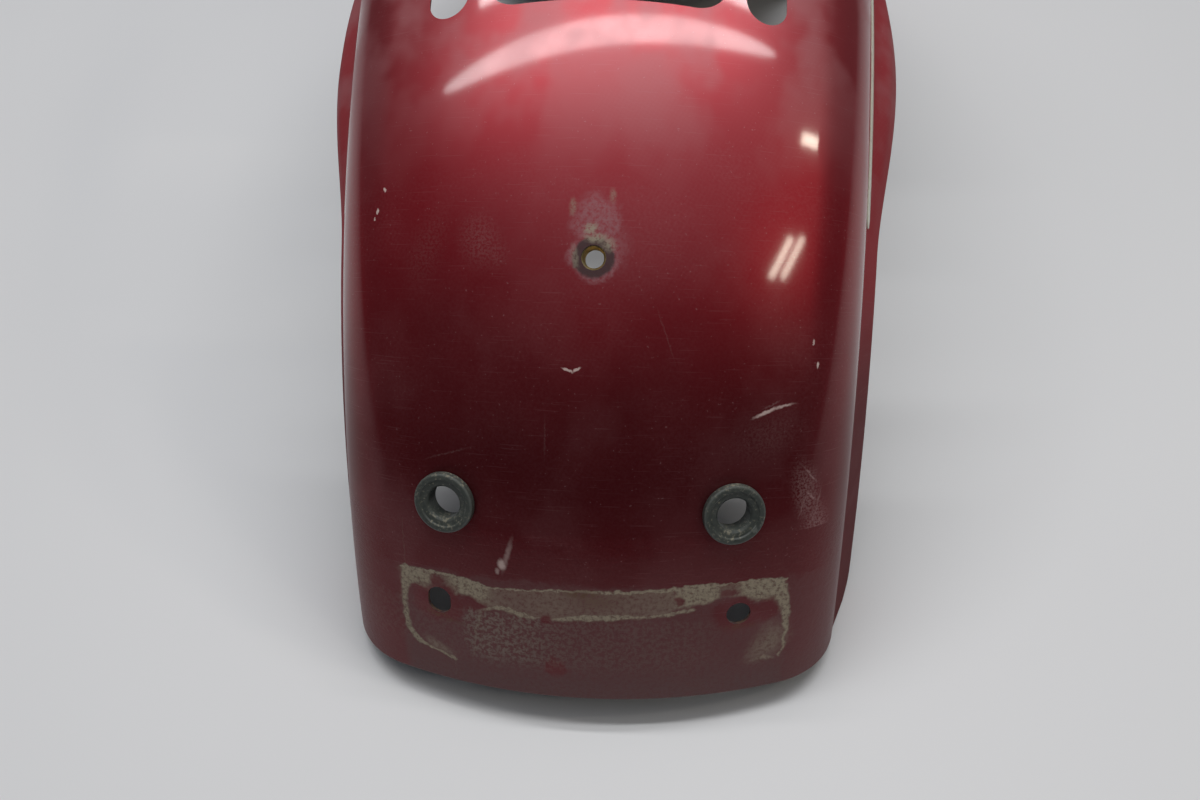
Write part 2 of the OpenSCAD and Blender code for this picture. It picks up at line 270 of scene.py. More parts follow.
def lowest_corner():
    """How far the skirts' rounded corners reach below the axle."""
    low = 0.0
    for i in range(7):
        a = TAIL_ANGLE + arc_angle(CORNER_R * (1 - cosd(90 * i / 6)))
        for angle in (a, FRONT_ANGLE - (a - TAIL_ANGLE)):
            depth = skirt_point(angle, skirt_len(from_end(angle)))[1] + (SKIN_T + HEM_T) * sind(SKIRT_LEAN)
            reach = (CROWN_R - depth) * sind(angle)
            low = reach if low == 0.0 else min(low, reach)
    return low


AXLE_Z = -lowest_corner()
AXLE_Y = CROWN_R * (cosd(TAIL_ANGLE) + cosd(FRONT_ANGLE)) / 2


def on_arc(x, depth, angle):
    r = CROWN_R - depth
    return Vector((x, AXLE_Y - r * cosd(angle), AXLE_Z + r * sind(angle)))


def crown_frame(x, angle):
    """A frame on the crown with Z outward, as the part's source places what stands on it."""
    return (
        Matrix.Translation((0, AXLE_Y, AXLE_Z))
        @ Matrix.Rotation(math.radians(90 - angle), 4, "X")
        @ Matrix.Translation((0, 0, CROWN_R - ACROSS_R))
        @ Matrix.Rotation(math.asin(x / ACROSS_R), 4, "Y")
        @ Matrix.Translation((0, 0, ACROSS_R))
    )


def skirt_frame(side, angle, drop):
    x, depth = skirt_point(angle, drop)
    return (
        Matrix.Translation((0, AXLE_Y, AXLE_Z))
        @ Matrix.Rotation(math.radians(90 - angle), 4, "X")
        @ Matrix.Translation((side * x, 0, CROWN_R - depth))
        @ Matrix.Rotation(side * math.radians(90 - SKIRT_LEAN), 4, "Y")
    )


def half_profile(angle, length):
    """The right half of the outer section: (x, depth, normal x, normal depth, drop below the crease)."""
    w = half_w(angle)
    cx, cd, start = shoulder(w)
    trim = sizes().crease_fillet / MM * math.tan(math.radians((CREASE_ANGLE + SKIRT_LEAN - 90) / 2))
    stop = CREASE_ANGLE - math.degrees(trim / SHOULDER_R)
    out = []
    for i in range(CROWN_N + 1):
        a = start * i / CROWN_N
        out.append((ACROSS_R * sind(a), ACROSS_R * (1 - cosd(a)), sind(a), -cosd(a), -1.0))
    for i in range(1, SHOULDER_N + 1):
        a = start + (stop - start) * i / SHOULDER_N
        out.append((cx + SHOULDER_R * sind(a), cd - SHOULDER_R * cosd(a), sind(a), -cosd(a), -1.0))
    p0 = Vector(out[-1][:2])
    p1 = Vector(skirt_point(angle, 0))
    p2 = Vector(skirt_point(angle, trim))
    for i in range(1, CREASE_N):
        t = i / CREASE_N
        p = p0 * (1 - t) ** 2 + p1 * 2 * t * (1 - t) + p2 * t * t
        a = stop + (90 - SKIRT_LEAN - stop) * t
        out.append((p.x, p.y, sind(a), -cosd(a), 0.0))
    edge = length - (SKIN_T + HEM_T) / 2
    for i in range(SKIRT_N + 1):
        drop = trim + (edge - trim) * i / SKIRT_N
        x, depth = skirt_point(angle, drop)
        slope = (bulge(angle, drop + 0.1) - bulge(angle, drop - 0.1)) / 0.2
        t = Vector((sind(SKIRT_LEAN) + slope, cosd(SKIRT_LEAN))).normalized()
        out.append((x + bulge(angle, drop), depth, t.y, -t.x, drop))
    return out


def shell_ring(angle, inset):
    """One closed section of the sheet, with round edges, pulled in by inset at the two ends."""
    f = from_end(angle)
    length = skirt_len(f)
    half = half_profile(angle, length)
    end_hem = smooth((HEM_W + HEM_RAMP - f) / HEM_RAMP)
    outer, inner = [], []
    for x, d, nx, nd, drop in half:
        hem = max(end_hem, smooth((drop - max(0.6 * length, length - HEM_W) + HEM_RAMP) / HEM_RAMP))
        thick = SKIN_T + HEM_T * hem
        outer.append((x - nx * inset, d - nd * inset))
        inner.append((x - nx * (thick - inset), d - nd * (thick - inset)))
    x, d, nx, nd, _ = half[-1]
    mid = (SKIN_T + HEM_T) / 2
    r = mid - inset
    edge = []
    for k in range(1, EDGE_N):
        a = 90 - 180 * k / EDGE_N
        away, side = r * sind(a) - mid, r * cosd(a)
        edge.append((x + nx * away - nd * side, d + nd * away + nx * side))
    right = outer + edge + inner[::-1]
    left = [(-p[0], p[1]) for p in right[::-1]]
    return [on_arc(p[0], p[1], angle) for p in left[:-1] + right[:-1]], len(half)


def shell_stations():
    """Angles round the arc, with how far the sheet is pulled in at each of its round ends."""
    mid = (SKIN_T + HEM_T) / 2
    ends = [(arc_angle(mid * (1 - cosd(a))), mid * (1 - sind(a))) for a in (0, 22.5, 45, 67.5, 90)]
    near = ends[-1][0]
    far = arc_angle(CORNER_R)
    corner = [near + (far - near) * (1 - cosd(90 * i / CORNER_N)) for i in range(1, CORNER_N + 1)]
    start = [(TAIL_ANGLE + a, inset) for a, inset in ends] + [(TAIL_ANGLE + a, 0.0) for a in corner]
    stop = [(FRONT_ANGLE - (a - TAIL_ANGLE), inset) for a, inset in reversed(start)]
    a0, a1 = start[-1][0], stop[0][0]
    count = sizes().arc_steps
    return start + [(a0 + (a1 - a0) * i / count, 0.0) for i in range(1, count)] + stop


def new_object(name, mesh):
    obj = bpy.data.objects.new(name, mesh)
    bpy.context.collection.objects.link(obj)
    return obj


def finish_mesh(bm, name, angle=35.0, scale=MM):
    """Turns a bmesh in millimetres into an object in metres with smooth shading up to an angle."""
    bmesh.ops.recalc_face_normals(bm, faces=bm.faces)
    mesh = bpy.data.meshes.new(name)
    bm.to_mesh(mesh)
    bm.free()
    mesh.transform(Matrix.Scale(scale, 4))
    obj = new_object(name, mesh)
    shade(mesh, angle)
    return obj


def shade(mesh, angle):
    mesh.polygons.foreach_set("use_smooth", [True] * len(mesh.polygons))
    mesh.set_sharp_from_angle(angle=math.radians(angle))


def loft(bm, rings, closed=True):
    """Joins rings of points by quads and returns the rings of vertices."""
    rows = [[bm.verts.new(p) for p in ring] for ring in rings]
    n = len(rows[0])
    for a, b in zip(rows, rows[1:]):
        for i in range(n if closed else n - 1):
            j = (i + 1) % n
            bm.faces.new((a[i], a[j], b[j], b[i]))
    return rows


def lathe(bm, profile, frame, segments=96):
    """Turns a closed profile of (radius, height) round the Z of a frame."""
    rings = []
    for k in range(segments):
        a = 2 * math.pi * k / segments
        rings.append([frame @ Vector((r * math.cos(a), r * math.sin(a), z)) for r, z in profile])
    rings.append(rings[0])
    loft(bm, rings)
    bmesh.ops.remove_doubles(bm, verts=bm.verts, dist=1e-4)


def round_profile(points, radii, steps=4):
    """Rounds the corners of a closed profile: one radius for each point."""
    out = []
    n = len(points)
    for i, p in enumerate(points):
        p = Vector(p)
        r = radii[i]
        a = Vector(points[i - 1]) - p
        b = Vector(points[(i + 1) % n]) - p
        if r <= 0:
            out.append(tuple(p))
            continue
        half = a.angle(b) / 2
        cut = min(r / math.tan(half), 0.49 * a.length, 0.49 * b.length)
        s, e = p + a.normalized() * cut, p + b.normalized() * cut
        for k in range(steps + 1):
            t = k / steps
            q = s * (1 - t) ** 2 + p * 2 * t * (1 - t) + e * t * t
            out.append(tuple(q))
    return out


def prism(bm, outline, low, high, frame=Matrix()):
    """A closed prism over an outline, between two heights of a frame."""
    rings = [[frame @ Vector((x, y, z)) for x, y in outline] for z in (low, high)]
    rows = loft(bm, rings)
    bm.faces.new(rows[0][::-1])
    bm.faces.new(rows[1])


def circle(r, n=80, x=0.0, y=0.0, start=0.0, stop=360.0):
    """Points of an arc, or of a whole circle without the repeated last point."""
    count = n if stop - start >= 360 else n + 1
    angles = [start + (stop - start) * i / n for i in range(count)]
    return [(x + r * cosd(a), y + r * sind(a)) for a in angles]


def stadium(r, travel, n=40, x=0.0, y=0.0):
    """A slot's outline, with its travel along Y."""
    top = circle(r, n, x, y + travel / 2, 0, 180)
    low = circle(r, n, x, y - travel / 2, 180, 360)
    return top + low


def rounded_rect(width, length, r, x, y, n=10):
    """A rectangle's outline with round corners, from y on upward."""
    near, far = r, length - r
    side = width / 2 - r
    out = []
    for k, (cx, cy) in enumerate(((side, far), (-side, far), (-side, near), (side, near))):
        out += circle(r, n, x + cx, y + cy, 90 * k, 90 * k + 90)
    return out


def hole_cutters():
    """One mesh that cuts every hole, slot and opening of the sheet."""
    bm = bmesh.new()
    reach = 12.0
    prism(bm, circle(SEAT_HOLE_D / 2), -reach, reach, crown_frame(0, SEAT_ANGLE))
    for s in (-1, 1):
        prism(bm, circle(GROMMET_HOLE_D / 2), -reach, reach, crown_frame(s * GROMMET_GAP / 2, GROMMET_ANGLE))
        prism(bm, circle(FRONT_HOLE_D / 2), -reach, reach, crown_frame(s * FRONT_GAP / 2, FRONT_HOLE_ANGLE))
    prism(bm, circle(BRACKET_HOLE_D / 2), -reach, reach, crown_frame(BRACKET_GAP / 2, BRACKET_ANGLE))
    slot = stadium(BRACKET_HOLE_D / 2, BRACKET_SLOT)
    prism(bm, slot, -reach, reach, crown_frame(-BRACKET_GAP / 2, BRACKET_ANGLE))
    y = AXLE_Y - CROWN_R * cosd(OPENING_ANGLE)
    low, high = AXLE_Z + CROWN_R / 2, AXLE_Z + 1.5 * CROWN_R
    prism(bm, rounded_rect(OPENING_W, OPENING_L, OPENING_R, 0, y), low, high)
    for s in (-1, 1):
        x = s * (OPENING_W / 2 + STRAP_WEB + STRAP_W / 2)
        prism(bm, stadium(STRAP_W / 2, STRAP_L - STRAP_W, 20, x, y + STRAP_L / 2), low, high)
    for f in bm.faces:
        f.material_index = CUT_EDGE
    return finish_mesh(bm, "cutters")


def add_cut(obj, cutter):
    mod = obj.modifiers.new("cut", "BOOLEAN")
    mod.operation = "DIFFERENCE"
    mod.solver = "MANIFOLD"
    mod.object = cutter


def add_bevel(obj, width):
    mod = obj.modifiers.new("edge", "BEVEL")
    mod.width = width
    mod.segments = 2
    mod.limit_method = "ANGLE"
    mod.angle_limit = math.radians(50)


def apply_modifiers(obj):
    graph = bpy.context.evaluated_depsgraph_get()
    mesh = bpy.data.meshes.new_from_object(obj.evaluated_get(graph))
    old = obj.data
    obj.modifiers.clear()
    obj.data = mesh
    bpy.data.meshes.remove(old)


def zone_of(x, angle):
    """Which material a face outside has: the body's, the tail's, the seat bolt's or the skirt's."""
    if abs(x) > half_w(angle) + SKIRT_FROM:
        return SKIRT
    along = arc_mm(angle - TAIL_ANGLE)
    x0, x1, y0, y1 = SEAT_ZONE
    if along < TAIL_ZONE:
        return TAIL
    return SEAT if x0 < x < x1 and y0 < along < y1 else BODY


def build_shell():
    bm = bmesh.new()
    rings = []
    angles = []
    for angle, inset in shell_stations():
        ring, half_n = shell_ring(angle, inset)
        rings.append(ring)
        angles.append(angle)
    rows = loft(bm, rings)
    n = len(rows[0])
    # The ring runs from the inner middle over the left edge, the outside and the right edge back
    inner_left = half_n - 1
    inner_right = n - half_n + 1
    for k, f in enumerate(bm.faces):
        i = k % n
        inside = i < inner_left or i >= inner_right
        f.material_index = UNDERSIDE if inside else zone_of(f.calc_center_median().x, angles[k // n])
    bmesh.ops.remove_doubles(bm, verts=bm.verts, dist=2e-3)
    obj = finish_mesh(bm, "shell_lacquered")
    cutter = hole_cutters()
    add_cut(obj, cutter)
    # In the order of BODY to SKIRT
    for m in (lacquer("body"), underside(), cut_edge(), lacquer("tail"), lacquer("seat"), lacquer("skirt")):
        obj.data.materials.append(m)
    apply_modifiers(obj)
    bpy.data.objects.remove(cutter)
    shade(obj.data, 35)
    return obj


def build_stripes():
    """Two thin films just below the creases, with a point at the back."""
    out = []
    film = sizes().film_height / MM
    stop = FRONT_ANGLE - arc_angle(CORNER_R) + arc_angle(HEM_RAMP)
    for side, word in zip((-1, 1), NAMES):
        bm = bmesh.new()
        rings = []
        for i in range(STRIPE_N + 1):
            t = i / STRIPE_N
            share = t if t > STRIPE_START else t * t / STRIPE_START
            angle = STRIPE_ANGLE + (stop - STRIPE_ANGLE) * share
            along = min(arc_mm(angle - STRIPE_ANGLE), arc_mm(stop - angle))
            half = FILM_SPAN / 2 * max(0.06, math.sqrt(min(1.0, along / STRIPE_TIP_L)))
            n = Vector((cosd(SKIRT_LEAN), -sind(SKIRT_LEAN)))
            ring = []
            for d, h in FILM_SECTION:
                p = Vector(skirt_point(angle, FILM_DROP + d * half)) + n * h * film
                ring.append(on_arc(side * p.x, p.y, angle))
            rings.append(ring)
        rows = loft(bm, rings)
        bm.faces.new(rows[0])
        bm.faces.new(rows[-1])
        obj = finish_mesh(bm, "stripe_film_" + word, 50)
        obj.data.materials.append(stripe_film())
        out.append(obj)
    return out


def build_grommets():
    """Rubber rings with a groove for the sheet, a rolled lip and a dished mouth."""
    rim, bore, neck = GROMMET_D / 2, GROMMET_BORE_D / 2, GROMMET_HOLE_D / 2 - RUBBER_GAP
    fall = rim**2 / (2 * ACROSS_R)
    seat = -SKIN_T - RUBBER_GAP - fall
    inner = rim - GROMMET_INNER_STEP
    foot = seat - GROMMET_INNER_H
    points = [(bore, foot), (inner - GROMMET_CHAMFER, foot), (inner, foot + GROMMET_CHAMFER), (inner, seat)]
    points += [(neck, seat), (neck, RUBBER_GAP), (rim, RUBBER_GAP)]
    # The rolled lip falls into a dished mouth
    top = GROMMET_FLANGE_H
    points += [(rim, top), (rim - 2.6, top), (rim - 3.1, top - 0.7)]
    points += [(bore + 1.0, top - 0.9), (bore, top - 1.9)]
    radii = [0.4, 0.4, 0.4, 0.3, 0, 0, 0.8, sizes().lip_round / MM, 0.5, 0.3, 0.8, 0.5]
    out = []
    for side, word in zip((-1, 1), NAMES):
        bm = bmesh.new()
        lathe(bm, round_profile(points, radii, 5), crown_frame(side * GROMMET_GAP / 2, GROMMET_ANGLE))
        obj = finish_mesh(bm, "grommet_ring_" + word, 60)
        obj.data.materials.append(rubber())
        out.append(obj)
    return out


def threaded_profile(low, high):
    """A bore's wall with the crests of a thread, from low to high."""
    pitch, depth = sizes().thread_pitch / MM, sizes().thread_depth / MM
    r = NUT_THREAD_D / 2
    out = [(r + depth + 0.3, low), (r + depth, low + 0.4)]
    z = low + 0.6
    while z + pitch < high - 0.4:
        out += [(r + depth, z), (r, z + pitch * 0.45), (r, z + pitch * 0.55), (r + depth, z + pitch * 0.95)]
        z += pitch
    return out + [(r + depth, high - 0.4), (r + depth + 0.3, high)]


def weld_nut(bm, frame, pilot_h):
    """A hexagon nut with a weld flange at z = 0, chamfered corners and a threaded bore."""
    foot = -NUT_FLANGE_H - NUT_H
    top = pilot_h if pilot_h > 0 else 0.0
    bore = threaded_profile(foot, top)
    pilot = SEAT_HOLE_D / 2 + PILOT_STEP
    flange = NUT_FLANGE_D / 2
    n = 120
    rings = []
    for k in range(n):
        a = 360 * k / n
        hexagon = NUT_FLATS / 2 / cosd((a + 30) % 60 - 30)
        chamfer = min(hexagon, NUT_FLATS / 2 * NUT_CHAMFER_SHARE)
        outer = [(chamfer, foot), (hexagon, foot + NUT_CHAMFER_H), (hexagon, -NUT_FLANGE_H)]
        outer += [(flange - NUT_EDGE, -NUT_FLANGE_H), (flange, -NUT_FLANGE_H + NUT_EDGE)]
        outer += [(flange, -NUT_EDGE), (flange - NUT_EDGE, 0)]
        if pilot_h > 0:
            outer += [(pilot, 0), (pilot, top - PILOT_EDGE), (pilot - PILOT_EDGE, top)]
        rings.append([frame @ Vector((r * cosd(a), r * sind(a), z)) for r, z in bore[::-1] + outer])
    rings.append(rings[0])
    loft(bm, rings)
    bmesh.ops.remove_doubles(bm, verts=bm.verts, dist=1e-4)


def build_nuts():
    under = SKIN_T + 2 * WELD_GAP + PLATE_T
    lower = Matrix.Translation((0, 0, -under - WELD_GAP))
    places = [("seat", crown_frame(0, SEAT_ANGLE) @ lower, under - SKIN_T - WELD_GAP / 2)]
    for side, word in zip((-1, 1), NAMES):
        places.append(("strut_" + word, skirt_frame(side, BLISTER_ANGLE, STRUT_DROP) @ lower, 0.0))
    out = []
    for word, place, pilot_h in places:
        bm = bmesh.new()
        weld_nut(bm, place, pilot_h)
        obj = finish_mesh(bm, "weld_nut_" + word, 30)
        obj.data.materials.append(zinc())
        out.append(obj)
    return out


def bent_plate(name, point, across, along, bore):
    """A plate on a curved surface: point(u, v, depth) gives its place, and bore is (frame, radius)."""
    bm = bmesh.new()
    rings = []
    for j in range(along + 1):
        v = 2 * j / along - 1
        row = [2 * i / across - 1 for i in range(across + 1)]
        rings.append([point(u, v, 0.0) for u in row] + [point(u, v, PLATE_T) for u in row[::-1]])
    rows = loft(bm, rings)
    n = across + 1
    for row in (rows[0], rows[-1]):
        for i in range(across):
            bm.faces.new((row[i], row[i + 1], row[2 * n - 2 - i], row[2 * n - 1 - i]))
    obj = finish_mesh(bm, name)
    cut = bmesh.new()
    prism(cut, circle(bore[1], 64), -12, 12, bore[0])
    cutter = finish_mesh(cut, "plate_cutter")
    add_cut(obj, cutter)
    add_bevel(obj, sizes().plate_bevel)
    apply_modifiers(obj)
    bpy.data.objects.remove(cutter)
    shade(obj.data, 30)
    obj.data.materials.append(primer())
    return obj


def build_plates():
    top = SKIN_T + WELD_GAP
    half = arc_angle(SEAT_PLATE_L / 2)
    side_a = math.degrees(math.asin(SEAT_PLATE_W / 2 / ACROSS_R))

    def seat_point(u, v, depth):
        r = ACROSS_R - top - depth
        return on_arc(r * sind(side_a * u), ACROSS_R - r * cosd(side_a * u), SEAT_ANGLE + half * v)

    bore = (crown_frame(0, SEAT_ANGLE), SEAT_HOLE_D / 2 + PILOT_STEP + HOLE_CLEAR)
    out = [bent_plate("seat_plate_pressed", seat_point, 20, 18, bore)]
    n = Vector((cosd(SKIRT_LEAN), -sind(SKIRT_LEAN)))
    for side, word in zip((-1, 1), NAMES):

        def strut_point(u, v, depth):
            angle = BLISTER_ANGLE + STRUT_PLATE_SPAN / 2 * v
            p = Vector(skirt_point(angle, STRUT_DROP + STRUT_PLATE_H / 2 * u)) - n * (top + depth)
            return on_arc(side * p.x, p.y, angle)

        bore = (skirt_frame(side, BLISTER_ANGLE, STRUT_DROP), (NUT_THREAD_D + HOLE_CLEAR) / 2)
        out.append(bent_plate("strut_plate_pressed_" + word, strut_point, 6, 50, bore))
    return out


def build_clips():
    """Three strips, each bent into an open loop beside its foot."""
    loop_r = CLIP_LOOP_D / 2 + CLIP_T
    half = (CLIP_W + loop_r) / 2
    fall = half**2 / (2 * ACROSS_R)
    mid = loop_r - CLIP_T / 2
    bend_x = CLIP_W - half
    line = [(-half, -CLIP_T / 2), (-half / 2, -CLIP_T / 2), (bend_x - 2, -CLIP_T / 2)]
    line += [(bend_x + mid * cosd(90 + a), -loop_r + mid * sind(90 + a)) for a in range(0, CLIP_BEND, 10)]
    bm = bmesh.new()
    for i in range(CLIP_COUNT):
        place = crown_frame(CLIP_X, TAIL_ANGLE + arc_angle(CLIP_UP + i * CLIP_PITCH))
        place = place @ Matrix.Translation((0, 0, -SKIN_T - WELD_GAP - fall))
        rings = []
        for k, p in enumerate(line):
            a, b = Vector(line[max(0, k - 1)]), Vector(line[min(len(line) - 1, k + 1)])
            t = (b - a).normalized()
            n = Vector((-t.y, t.x)) * CLIP_T / 2
            w = CLIP_W / 2
            q = Vector(p)
            ring = [(q - n, -w), (q + n, -w), (q + n, w), (q - n, w)]
            rings.append([place @ Vector((c.x, y, c.y)) for c, y in ring])
        rows = loft(bm, rings)
        bm.faces.new(rows[0])
        bm.faces.new(rows[-1])
    obj = finish_mesh(bm, "clip_strips", 40)
    add_bevel(obj, sizes().clip_bevel)
    apply_modifiers(obj)
    shade(obj.data, 40)
    obj.data.materials.append(primer())
    return obj


class Nodes:
    """Adds nodes to a tree by short calls, and links each socket that is handed in as an input."""

    def __init__(self, tree):
        self.tree = tree

    def feed(self, socket, value):
        if isinstance(value, bpy.types.NodeSocket):
            self.tree.links.new(value, socket)
        elif socket.type == "RGBA":
            socket.default_value = (*value[:3], 1.0)
        else:
            socket.default_value = value

    def add(self, kind, inputs=None, **props):
        node = self.tree.nodes.new(kind)
        for name, value in props.items():
            setattr(node, name, value)
        for key, value in (inputs or {}).items():
            self.feed(node.inputs[key], value)
        return node

    def math(self, op, a, b=0.0, c=0.0):
        return self.add("ShaderNodeMath", {0: a, 1: b, 2: c}, operation=op).outputs[0]

    def times(self, *values):
        out = values[0]
        for value in values[1:]:
            out = self.math("MULTIPLY", out, value)
        return out

    def top(self, *values):
        out = values[0]
        for value in values[1:]:
            out = self.math("MAXIMUM", out, value)
        return out

    def without(self, mask, amount=1.0):
        """What a mask leaves: one less the mask, or less a part of it."""
        return self.math("MULTIPLY_ADD", mask, -amount, 1.0)

    def step(self, value, low, high, to_low=0.0, to_high=1.0):
        """A smooth step of a value from low to high."""
        inputs = {"Value": value, "From Min": low, "From Max": high, "To Min": to_low, "To Max": to_high}
        return self.add("ShaderNodeMapRange", inputs, interpolation_type="SMOOTHSTEP").outputs["Result"]

    def mix(self, factor, a, b):
        inputs = {0: factor, 6: a, 7: b}
        return self.add("ShaderNodeMix", inputs, data_type="RGBA", clamp_factor=True).outputs[2]

    def noise(self, vector, scale, detail=3.0, rough=0.5, distortion=0.0, flat=False):
        inputs = {"Vector": vector, "Scale": scale, "Detail": detail, "Roughness": rough}
        inputs["Distortion"] = distortion
        return self.add("ShaderNodeTexNoise", inputs, noise_dimensions="2D" if flat else "3D").outputs["Fac"]

    def vector(self, x, y, z=0.0):
        return self.add("ShaderNodeCombineXYZ", {"X": x, "Y": y, "Z": z}).outputs[0]

    def split(self, vector):
        return self.add("ShaderNodeSeparateXYZ", {0: vector}).outputs

    def turned(self, vector, angle, stretch):
        """A flat position turned by an angle and stretched along the new X."""
        inputs = {"Vector": vector, "Rotation": (0, 0, angle), "Scale": (stretch, 1.0, 1.0)}
        return self.add("ShaderNodeMapping", inputs, vector_type="POINT").outputs[0]

    def curve(self, value, points):
        """A smooth curve through (input, output) points between 0 and 1, level past its ends."""
        node = self.add("ShaderNodeFloatCurve", {"Value": value})
        node.mapping.extend = "HORIZONTAL"
        line = node.mapping.curves[0]
        line.points[0].location, line.points[1].location = points[0], points[-1]
        for p in points[1:-1]:
            line.points.new(*p)
        for p in line.points:
            p.handle_type = "AUTO_CLAMPED"
        node.mapping.update()
        return node.outputs[0]


def group(name, inputs, outputs):
    """A node group with named sockets: inputs are (name, kind, default) and outputs (name, kind)."""
    tree = bpy.data.node_groups.new(name, "ShaderNodeTree")
    for label, kind, default in inputs:
        socket = tree.interface.new_socket(name=label, in_out="INPUT", socket_type="NodeSocket" + kind)
        if default is not None:
            socket.default_value = default
    for label, kind in outputs:
        tree.interface.new_socket(name=label, in_out="OUTPUT", socket_type="NodeSocket" + kind)
    return Nodes(tree), tree.nodes.new("NodeGroupInput").outputs, tree.nodes.new("NodeGroupOutput").inputs


def call(nodes, name, inputs=None):
    """An instance of a node group, with its inputs set."""
    node = nodes.tree.nodes.new("ShaderNodeGroup")
    node.node_tree = bpy.data.node_groups[name]
    for key, value in (inputs or {}).items():
        nodes.feed(node.inputs[key], value)
    return node.outputs


def group_position():
    """Millimetres across the crown and up it from the trailing edge, flat and as a point in space."""
    n, _, out = group("Fender position", [], [("Flat", "Vector"), ("Point", "Vector")])
    coord = n.add("ShaderNodeTexCoord").outputs["Object"]
    point = n.add("ShaderNodeVectorMath", {0: coord, 3: 1000.0}, operation="SCALE").outputs[0]
    xyz = n.split(point)
    up = n.math("SUBTRACT", xyz["Z"], AXLE_Z)
    back = n.math("SUBTRACT", AXLE_Y, xyz["Y"])
    along = n.times(n.math("SUBTRACT", n.math("ARCTAN2", up, back), math.radians(TAIL_ANGLE)), CROWN_R)
    across = n.times(n.math("ARCSINE", n.math("DIVIDE", xyz["X"], ACROSS_R)), ACROSS_R)
    n.feed(out["Flat"], n.vector(across, along))
    n.feed(out["Point"], point)


def group_ragged():
    """Shifts a flat position by noise, so that the edges of what is drawn with it are ragged."""
    inputs = [("Flat", "Vector", None), ("Amount", "Float", 2.0), ("Size", "Float", 6.0)]
    n, i, out = group("Ragged position", inputs, [("Flat", "Vector")])
    scale = n.math("DIVIDE", 1.0, i["Size"])
    inputs = {"Vector": i["Flat"], "Scale": scale, "Detail": 3.0, "Roughness": 0.62}
    color = n.add("ShaderNodeTexNoise", inputs, noise_dimensions="2D").outputs["Color"]
    shift = n.add("ShaderNodeVectorMath", {0: color, 1: (0.5, 0.5, 0.5)}, operation="SUBTRACT").outputs[0]
    reach = n.times(i["Amount"], 2.0)
    inputs = {0: shift, 1: n.vector(reach, reach), 2: i["Flat"]}
    n.feed(out["Flat"], n.add("ShaderNodeVectorMath", inputs, operation="MULTIPLY_ADD").outputs[0])


def group_dust():
    """Dust that lies on what faces up, in clouds and specks."""
    inputs = [("Amount", "Float", 0.5), ("Cloud size", "Float", 40.0)]
    n, i, out = group("Dust", inputs, [("Mask", "Float"), ("Specks", "Float")])
    at = call(n, "Fender position")["Point"]
    up = n.split(n.add("ShaderNodeNewGeometry").outputs["Normal"])["Z"]
    up = n.times(n.step(up, -0.3, 0.95, 0.1, 1.0), i["Amount"])
    cloud = n.noise(at, n.math("DIVIDE", 1.0, i["Cloud size"]), 2.0, 0.6)
    fine = n.noise(at, 0.8, 1.0, 0.7)
    mask = n.times(up, n.step(cloud, 0.34, 0.68, 0.45, 1.0), n.step(fine, 0.3, 0.75, 0.6, 1.15))
    n.feed(out["Mask"], mask)
    n.feed(out["Specks"], n.times(up, n.step(fine, 0.735, 0.775)))


def group_lacquer():
    """Burgundy lacquer with painted shade low down, a painted sheen before the seat opening, wiped haze,
    dust, cloth marks and fine scratches.
    """
    inputs = [("Paint", "Color", (0.3, 0.01, 0.02, 1)), ("Shaded low paint", "Color", (0.1, 0.004, 0.006, 1))]
    inputs += [("Haze and sheen", "Color", (0.4, 0.2, 0.2, 1)), ("Dust", "Float", 0.1), ("Smears", "Float", 1.0)]
    n, i, out = group("Worn lacquer", inputs, [("Color", "Color"), ("Veil and sheen", "Float")])
    place = call(n, "Fender position")
    flat = place["Flat"]
    along = n.split(flat)["Y"]
    tone = n.noise(place["Point"], 0.013, 2.0, 0.55)
    level = n.math("MULTIPLY_ADD", tone, 60.0, along)
    # Painted shade: the lacquer's colour darkens towards the tail, where less light falls
    color = n.mix(n.step(level, 130.0, 262.0), i["Shaded low paint"], i["Paint"])
    # A painted sheen of the light from above lies before the seat opening, broken up by wiped haze, and wiped
    # haze lies as streaks elsewhere
    wiped = n.noise(n.turned(flat, 0.35, 1.3), 0.017, 3.0, 0.58, flat=True)
    sheen_before_seat = n.times(
        n.step(level, 236.0, 350.0),
        n.step(level, 520.0, 400.0, 0.2, 1.0),
        0.40,
        n.step(wiped, 0.44, 0.62, 1.0, 0.4),
    )
    streaks = n.times(n.step(wiped, 0.30, 0.50, 1.0, 0.0), 0.05)
    dust = call(n, "Dust", {"Amount": i["Dust"], "Cloud size": 46.0})
    veil_and_sheen = n.math("ADD", n.top(sheen_before_seat, dust["Mask"]), n.times(streaks, i["Smears"]))
    # A coarse cloth left two fine gratings in patches
    x, y = n.split(flat)["X"], along
    gx = n.math("SINE", n.times(n.math("MULTIPLY_ADD", y, 0.35, x), 2.4))
    gy = n.math("SINE", n.times(n.math("MULTIPLY_ADD", x, -0.3, y), 2.4))
    weave = n.times(n.math("MULTIPLY_ADD", gx, gy, 1.0), n.step(tone, 0.48, 0.62), 0.014)
    scratches = []
    for turn, stretch, low in ((0.5, 0.030, 0.735), (-1.1, 0.026, 0.74)):
        field = n.noise(n.turned(flat, turn, stretch), 1.5, 1.0, 0.5, flat=True)
        scratches.append(n.step(field, low, low + 0.04, 0.0, 0.08))
    marks = n.times(n.math("ADD", weave, n.top(*scratches)), i["Smears"])
    veil_and_sheen = n.math("ADD", veil_and_sheen, n.math("ADD", marks, n.times(dust["Specks"], 3.0)))
    # The haze colour paints the sheen before the seat opening as well as the real haze, dust and marks
    n.feed(out["Color"], n.mix(veil_and_sheen, color, i["Haze and sheen"]))
    n.feed(out["Veil and sheen"], veil_and_sheen)


def ragged(n, flat, amount, size):
    """A flat position, shifted by noise of an amount and a size in millimetres."""
    return call(n, "Ragged position", {"Flat": flat, "Amount": amount, "Size": size})["Flat"]


